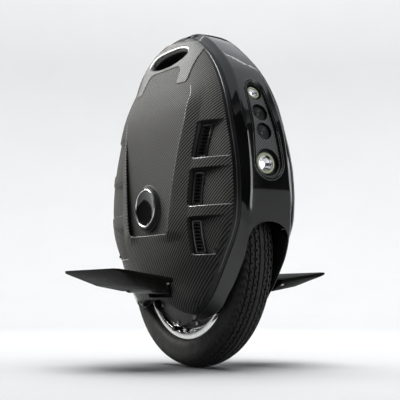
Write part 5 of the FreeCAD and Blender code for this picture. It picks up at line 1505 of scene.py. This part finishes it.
def wheel_parts():
    half = [(128.5, 15.9), (142.0, 16.0), (144.6, 13.6), (146.2, 13.4), (146.8, 14.4), (147.0, 23.6), (147.6, 25.4), (149.0, 26.1), (159.0, 26.1), (160.8, 25.8), (161.9, 25.0),
            (162.3, 23.9), (162.3, 22.1), (153.0, 22.0), (152.5, 15.0), (150.0, 11.0)]
    h = np.array(half)
    prof = np.concatenate([h * (1, -1), h[::-1]])
    v, f = lathe(prof, 220)
    v = v + (0, 0, AXLE_Z)
    o = make("rim", v, f, [M_RIM], sharp=32.0)
    piece(o, "wheel", ["rim"])
    for side, sgn in (("right", -1), ("left", 1)):
        prof = [(12.0, 24.9), (21.0, 24.9), (21.0, 35.6), (21.5, 36.0), (29.2, 36.0), (30.2, 35.4), (33.6, 30.6), (36.0, 29.95), (60.0, 29.4), (99.0, 28.55), (103.0, 28.1),
                (122.0, 23.2), (125.5, 22.4), (131.0, 21.4), (139.2, 20.6), (140.0, 20.1), (140.0, 16.0)]
        v, f = lathe(np.array(prof) * (1, sgn), 200)
        parts = [(v + (0, 0, AXLE_Z), f if sgn < 0 else f[:, ::-1], 0)]
        for i in range(12):
            t = math.radians(30 * i)
            R = np.array([[math.cos(t), 0, -math.sin(t)], [0, 1, 0], [math.sin(t), 0, math.cos(t)]])
            sec = np.array([(-2.6, 27.6), (-1.9, 30.6), (-1.5, 31.6), (-0.8, 32.0), (0.8, 32.0), (1.5, 31.6), (1.9, 30.6), (2.6, 27.6)])
            st = [(33.5, -1.2), (36.0, 0.0), (92.0, 0.0), (97.0, -0.9), (100.0, -3.4)]
            P = np.array([[(x, min(y, 32.0) + dy, q) for q, y in sec] for x, dy in st])
            P[..., 1] *= sgn
            P = P @ R.T + (0, 0, AXLE_Z)
            parts.append((P.reshape(-1, 3), grid_faces(len(st), len(sec), flip=(sgn < 0)), 0))
        V, F, M = join(parts)
        o = make("motor_cover_" + side, V, F, [M_CAST], M, sharp=36.0)
        piece(o, "wheel", ["motor_cover_" + side])
    parts = []
    for sgn in (-1, 1):
        for i in range(12):
            a = math.radians(30 * i + 15)
            x, z = 134.0 * math.cos(a), AXLE_Z + 134.0 * math.sin(a)
            d = (0, sgn, 0)
            q = np.array([x, 0, z])
            ring = np.linspace(0, 2 * math.pi, 30, endpoint=False)
            hexr = 1.75 / np.maximum(np.cos((ring % (math.pi / 3)) - math.pi / 6), 0.5)
            prof = [(3.4, 20.6, 0), (3.4, 23.7, 0), (3.1, 24.1, 0), (2.5, 24.2, 0), (1.0, 24.2, 1), (1.0, 22.4, 1), (0.001, 22.2, 0)]
            P = np.stack([np.stack([x + (hexr if hx else 1.0) * (r if not hx else 1.0) * np.cos(ring) * (1 if hx else 1), np.full(30, sgn * y),
                                    z + (hexr if hx else 1.0) * (r if not hx else 1.0) * np.sin(ring)], 1) for r, y, hx in prof], 1)
            parts.append((P.reshape(-1, 3), grid_faces(30, len(prof), wrap_r=True, flip=(sgn < 0)), 0))
    V, F, M = join(parts)
    o = outward(make("motor_cover_screws", V, F, [M_STEEL], M, sharp=35.0))
    piece(o, "wheel", ["motor_cover_screws"])


# ------------------------------------------------------------------ pedals
PED_K = (186.0 - 170.5) / (PEDAL_Y1 - 128.0)


def pedal_top(y):
    return 170.5 + (y - 128.0) * PED_K


def pedal(side):
    sgn = -1 if side == "right" else 1
    pts = []
    under = pchip([(128, 147.0), (160, 151.2), (182, 157.0), (212, 170.2), (240, 183.6)])
    hx = PEDAL_HX
    plan = [(hx - 3.0, 123.5), (hx, 127.0), (hx, PEDAL_Y1 - 14.0), (hx - 4.0, PEDAL_Y1 - 4.5), (hx - 14.0, PEDAL_Y1)]
    # thin edge all round, the underside sloping up to it at both ends
    for x, y in plan:
        zu = float(np.interp(y, [128, 182, 240], [147.0, 157.0, 183.6]))
        for sx in (1, -1):
            pts.append((sx * x, sgn * y, pedal_top(y)))
            pts.append((sx * x, sgn * y, max(min(zu, pedal_top(y) - 2.4), pedal_top(y) - 5.5)))
    for sx in (1, -1):
        for x, y in ((hx - 34.0, 125.0), (hx - 34.0, 182.0), (hx - 34.0, 228.0)):
            pts.append((sx * x, sgn * y, float(np.interp(y, [128, 182, 240], [147.0, 157.0, 183.6]))))
    o = hull_obj("pedal_" + side, pts, [M_PEDAL, M_GRIT])

    def cutter(x0, x1, y0, y1, z0, z1):
        v, f = box_mesh(0.5 * (x0 + x1), sgn * 0.5 * (y0 + y1), 0.5 * (z0 + z1), x1 - x0, y1 - y0, z1 - z0)
        return outward(make("cutter", v, f, [], smooth=False))
    cut_with(o, [cutter(-40.7, 40.7, 100.0, 136.0, 120.0, 200.0)])
    # tray for the grip pad
    tray = []
    e = 0.9 + 0.0
    for x, y in ((hx - 7, 141.0), (hx - 7, PEDAL_Y1 - 20), (hx - 20, PEDAL_Y1 - 7)):
        for sx in (1, -1):
            tray.append((sx * x, sgn * y, pedal_top(y) - 1.4))
            tray.append((sx * x, sgn * y, pedal_top(y) + 8.0))
    t = hull_obj("cutter", tray, [])
    cut_with(o, [t])
    bevel(o, 1.1, 3, 25.0)
    # hinge ears
    parts = []
    for x0 in (-58.0, 41.0):
        a = np.linspace(0, 2 * math.pi, 48, endpoint=False)
        ry = [(5.05, x0), (10.2, x0), (11.0, x0 + 0.8), (11.0, x0 + 16.2), (10.2, x0 + 17.0), (5.05, x0 + 17.0)]
        P = np.stack([np.stack([np.full(48, x), sgn * (HINGE_Y + r * np.cos(a)), HINGE_Z + r * np.sin(a)], 1) for r, x in ry], 1)
        parts.append((P.reshape(-1, 3), grid_faces(48, len(ry), wrap_r=True, wrap_c=True), 0))
        v = np.array([(x, sgn * y, z) for x in (x0, x0 + 17.0) for y, z in ((122.0, 145.5), (122.0, 164.5), (131.0, 168.4), (131.0, 147.4))])
        f = [(0, 1, 2, 3), (7, 6, 5, 4), (0, 4, 5, 1), (1, 5, 6, 2), (2, 6, 7, 3), (3, 7, 4, 0)]
        parts.append((v, f, 0))
    V, F, M = join(parts)
    e = outward(make("pedal_ears_" + side, V, F, [M_PEDAL], M, sharp=40.0))
    body = side + "_pedal"
    piece(o, body, ["pedal_" + side])
    piece(e, body)
    # grip pad: coarse grit field with rows of blunt studs along its edges
    pad = []
    for x, y in ((hx - 7.4, 141.4), (hx - 7.4, PEDAL_Y1 - 20.2), (hx - 20.2, PEDAL_Y1 - 7.4)):
        for sx in (1, -1):
            pad.append((sx * x, sgn * y, pedal_top(y) - 1.3))
            pad.append((sx * x, sgn * y, pedal_top(y) + 0.3))
    g = hull_obj("pedal_grip_" + side, pad, [M_GRIT])
    bevel(g, 0.35, 2, 25.0)
    piece(g, body, ["pedal_grip_" + side])
    st = []
    a = np.linspace(0, 2 * math.pi, 12, endpoint=False)

    def stud(x, y, r=2.0, h=0.9):
        z = pedal_top(y)
        prof = [(r, -0.3), (r * 0.92, 0.35 * h), (r * 0.62, 0.9 * h), (r * 0.3, h), (0.001, h)]
        P = np.stack([np.stack([x + q * np.cos(a), sgn * (y + q * np.sin(a)), np.full(12, z + k) + PED_K * q * np.sin(a)], 1) for q, k in prof], 1)
        st.append((P.reshape(-1, 3), grid_faces(12, len(prof), wrap_r=True), 0))
    for x in np.linspace(-hx + 20, hx - 20, 23):
        stud(x, PEDAL_Y1 - 3.6, 1.7)
        if abs(x) > 46:
            stud(x, 134.5)
        else:
            stud(x, 139.0, 1.4)
    for y in np.linspace(146, PEDAL_Y1 - 24, 9):
        for sx in (1, -1):
            stud(sx * (hx - 3.6), y, 1.7)
    V, F, M = join(st)
    s = outward(make("pedal_studs_" + side, V, F, [M_PEDAL], M, sharp=50.0))
    piece(s, body)
    # small bolt in each end of the pedal
    parts = []
    for sx in (1, -1):
        # on the slope between the thin edge and the underside
        e0, e1 = np.array([hx, pedal_top(131.0) - 5.5]), np.array([hx - 34.0, 147.6])
        m, g = e0 * 0.72 + e1 * 0.28, (e0 - e1) / np.linalg.norm(e0 - e1)
        v, f = turn_x([(3.0, -2.5), (3.0, 0.75), (2.6, 1.0), (1.5, 1.0), (1.4, 0.1), (0.001, 0.0)], 0, 28, d=(sx * g[1], 0, -g[0]), o=(sx * m[0], sgn * 131.0, m[1]))
        parts.append((v, f, 0))
    V, F, M = join(parts)
    b = outward(make("pedal_end_bolts_" + side, V, F, [M_CHROME], M, sharp=40.0))
    piece(b, body)
    # hinge pin
    prof = [(0.001, -59.5), (3.6, -59.5), (4.6, -59.0), (5.0, -58.2), (5.0, 58.2), (4.6, 59.0), (3.6, 59.5), (2.6, 59.5), (2.4, 58.4), (0.001, 58.4)]
    a = np.linspace(0, 2 * math.pi, 40, endpoint=False)
    P = np.stack([np.stack([np.full(40, x), sgn * (HINGE_Y + r * np.cos(a)), HINGE_Z + r * np.sin(a)], 1) for r, x in prof], 1)
    p = outward(make("pedal_pin_" + side, P.reshape(-1, 3), grid_faces(40, len(prof), wrap_r=True), [M_STEEL], sharp=40.0))
    piece(p, body, ["pedal_pin_" + side])


def cover_screws():
    parts = []
    for sgn in (-1, 1):
        for x, z in ((100.0, 127.0), (-100.0, 127.0), (178.0, 220.0), (-178.0, 220.0)):
            w = float(cover_w(x, z))
            ring = np.linspace(0, 2 * math.pi, 36, endpoint=False)
            hexr = 1.7 / np.maximum(np.cos((ring % (math.pi / 3)) - math.pi / 6), 0.5)
            prof = [(3.4, -2.5, 0), (3.4, 0.1, 0), (3.1, 0.5, 0), (2.6, 0.6, 0), (1, 0.6, 1), (1, -1.2, 1), (0.001, -1.4, 0)]
            P = np.stack([np.stack([x + (hexr if h else r) * np.cos(ring), np.full(36, sgn * (w + y)), z + (hexr if h else r) * np.sin(ring)], 1) for r, y, h in prof], 1)
            parts.append((P.reshape(-1, 3), grid_faces(36, len(prof), wrap_r=True), 0))
    V, F, M = join(parts)
    o = outward(make("cover_screws", V, F, [M_CAST], M, sharp=35.0))
    piece(o, "chassis", ["cover_screws"])


# ------------------------------------------------------------------ build
covers = {}
for s in ("right", "left"):
    covers[s] = side_cover(s)
    handle_panel(s)
    vent_grilles(s)
bosses = [side_boss("right"), side_boss("left")]
for k, nm in ((0, "side_bosses"), (1, "boss_rings"), (2, "boss_caps")):
    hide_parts(nm)
centre_band()
lamp_cluster()
rear_parts()
tyre()
wheel_parts()
for s in ("right", "left"):
    pedal(s)
cover_screws()

# ------------------------------------------------------------------ finishes of the pieces shown as built
PLAIN = {"centre_frame": M_PLASTIC, "handle_grip": M_RUBBER, "axle": M_STEEL, "axle_nuts": M_STEEL, "stator_spider": M_ALLOY, "stator_core": M_STEEL,
         "stator_windings": M_COPPER, "pedal_hanger_right": M_CAST, "pedal_hanger_left": M_CAST, "hanger_bolts": M_STEEL, "battery_pack_right": M_WRAP,
         "battery_pack_left": M_WRAP, "control_board": M_PCB, "heat_sink": M_ALLOY, "cooling_fan": M_PLASTIC, "inner_tube": M_RUBBER, "motor_magnets": M_STEEL,
         "wheel_bearings": M_STEEL, "valve_stem": M_RUBBER, "valve_cap": M_PLASTIC, "lift_button": M_PLASTIC}
for n, m in PLAIN.items():
    o = frame["nodes"][n]
    o.data.materials.clear()
    o.data.materials.append(m)

# ------------------------------------------------------------------ stage, light, camera
M_FLOOR = surf("studio_floor", (0.78, 0.78, 0.78), (0.80, 0.80, 0.80), 0.7, 0.8, scale=3.0)
prof = [(0.001, 0.0), (2.6, 0.0)] + [(2.6 + 1.6 * math.sin(t), 1.6 - 1.6 * math.cos(t)) for t in np.linspace(0.08, math.pi / 2, 18)] + [(4.2, 8.0)]
az = math.radians(56.94)
V = np.array([(r * math.cos(t), r * math.sin(t), h) for r, h in prof for t in np.linspace(0, 2 * math.pi, 144, endpoint=False)]) / MM
floor = make("floor", V, grid_faces(len(prof), 144, wrap_c=True), [M_FLOOR], sharp=None)
# dark flag round the object, open towards the backdrop, seen in reflections only
M_FLAG = surf("studio_flag", (0.010, 0.010, 0.010), (0.014, 0.014, 0.014), 0.8, 0.9, scale=3.0)
turn = np.radians(np.linspace(-230, 62, 96))
foot = np.interp(turn, np.radians([-175, -140, -30, 5]), [0.92, 0.30, 0.30, 0.92])
V = np.array([(3.6 * math.cos(t), 3.6 * math.sin(t), h) for hs in (foot, np.full(96, 3.2)) for t, h in zip(turn, hs)]) / MM
flag = make("flag", V, grid_faces(2, 96), [M_FLAG], sharp=None)
flag.visible_camera = flag.visible_diffuse = flag.visible_shadow = False

w = bpy.data.worlds.new("studio")
SCN.world = w
w.use_nodes = True
bg = w.node_tree.nodes["Background"]
bg.inputs["Color"].default_value = (0.90, 0.94, 1.0, 1)
bg.inputs["Strength"].default_value = 0.10


def area(name, loc, target, size, power, color=(1, 1, 1)):
    l = bpy.data.lights.new(name, "AREA")
    l.shape = "RECTANGLE"
    l.size, l.size_y = size
    l.energy = power
    l.color = color
    o = bpy.data.objects.new(name, l)
    o.location = loc
    o.rotation_mode = "QUATERNION"
    o.rotation_quaternion = (Vector(target) - Vector(loc)).to_track_quat("-Z", "Y")
    SCN.collection.objects.link(o)
    return o


area("sky", (-0.3, 0.2, 4.2), (-0.3, 0.2, 0.0), (6.0, 6.0), 85.0, (0.93, 0.965, 1.0))
key = area("key", (-2.5, -1.55, 2.7), (0, 0, 0.45), (2.3, 2.3), 225.0, (1.0, 0.99, 0.97))
area("backdrop", (-1.0, 0.75, 2.9), (-3.6, 2.4, 0.9), (4.0, 0.8), 48.0)
front = area("front", (2.9, 0.9, 1.3), (0, 0, 0.42), (1.3, 1.9), 36.0, (0.95, 0.97, 1.0))
wash = area("floor_wash", (-0.3, 0.2, 4.4), (-0.3, 0.2, 0.0), (5.0, 5.0), 215.0)
# key and front light are flagged off the floor, and the wash off the object
lit = bpy.data.collections.new("object_lit")
for ob in bpy.data.objects:
    if ob.type == "MESH" and ob not in (floor, flag):
        lit.objects.link(ob)
ground = bpy.data.collections.new("floor_lit")
ground.objects.link(floor)
# the lacquered pieces take no mirror image of the key
matt = bpy.data.collections.new("key_lit")
for ob in lit.objects:
    if ob.name.split(".")[0] not in ("front_fascia", "rear_fascia", "top_bridge", "tail_lamp_lens", "power_button"):
        matt.objects.link(ob)
key.light_linking.receiver_collection = matt
front.light_linking.receiver_collection = lit
wash.light_linking.receiver_collection = ground
floor.visible_diffuse = False

cam = bpy.data.cameras.new("camera")
cam.sensor_width = 36.0
cam.lens = 87.78
cam.clip_start, cam.clip_end = 0.02, 60.0
co = bpy.data.objects.new("camera", cam)
aa, q = math.radians(56.79), math.radians(5.82)
fw = Vector((-math.sin(aa) * math.cos(q), math.cos(aa) * math.cos(q), math.sin(q)))
co.location = (1.93611 * math.sin(az), -1.93611 * math.cos(az), 0.13141)
co.rotation_mode = "QUATERNION"
co.rotation_quaternion = fw.to_track_quat("-Z", "Y")
SCN.collection.objects.link(co)
SCN.camera = co
SCN.view_settings.view_transform = "Standard"
SCN.view_settings.look = "None"
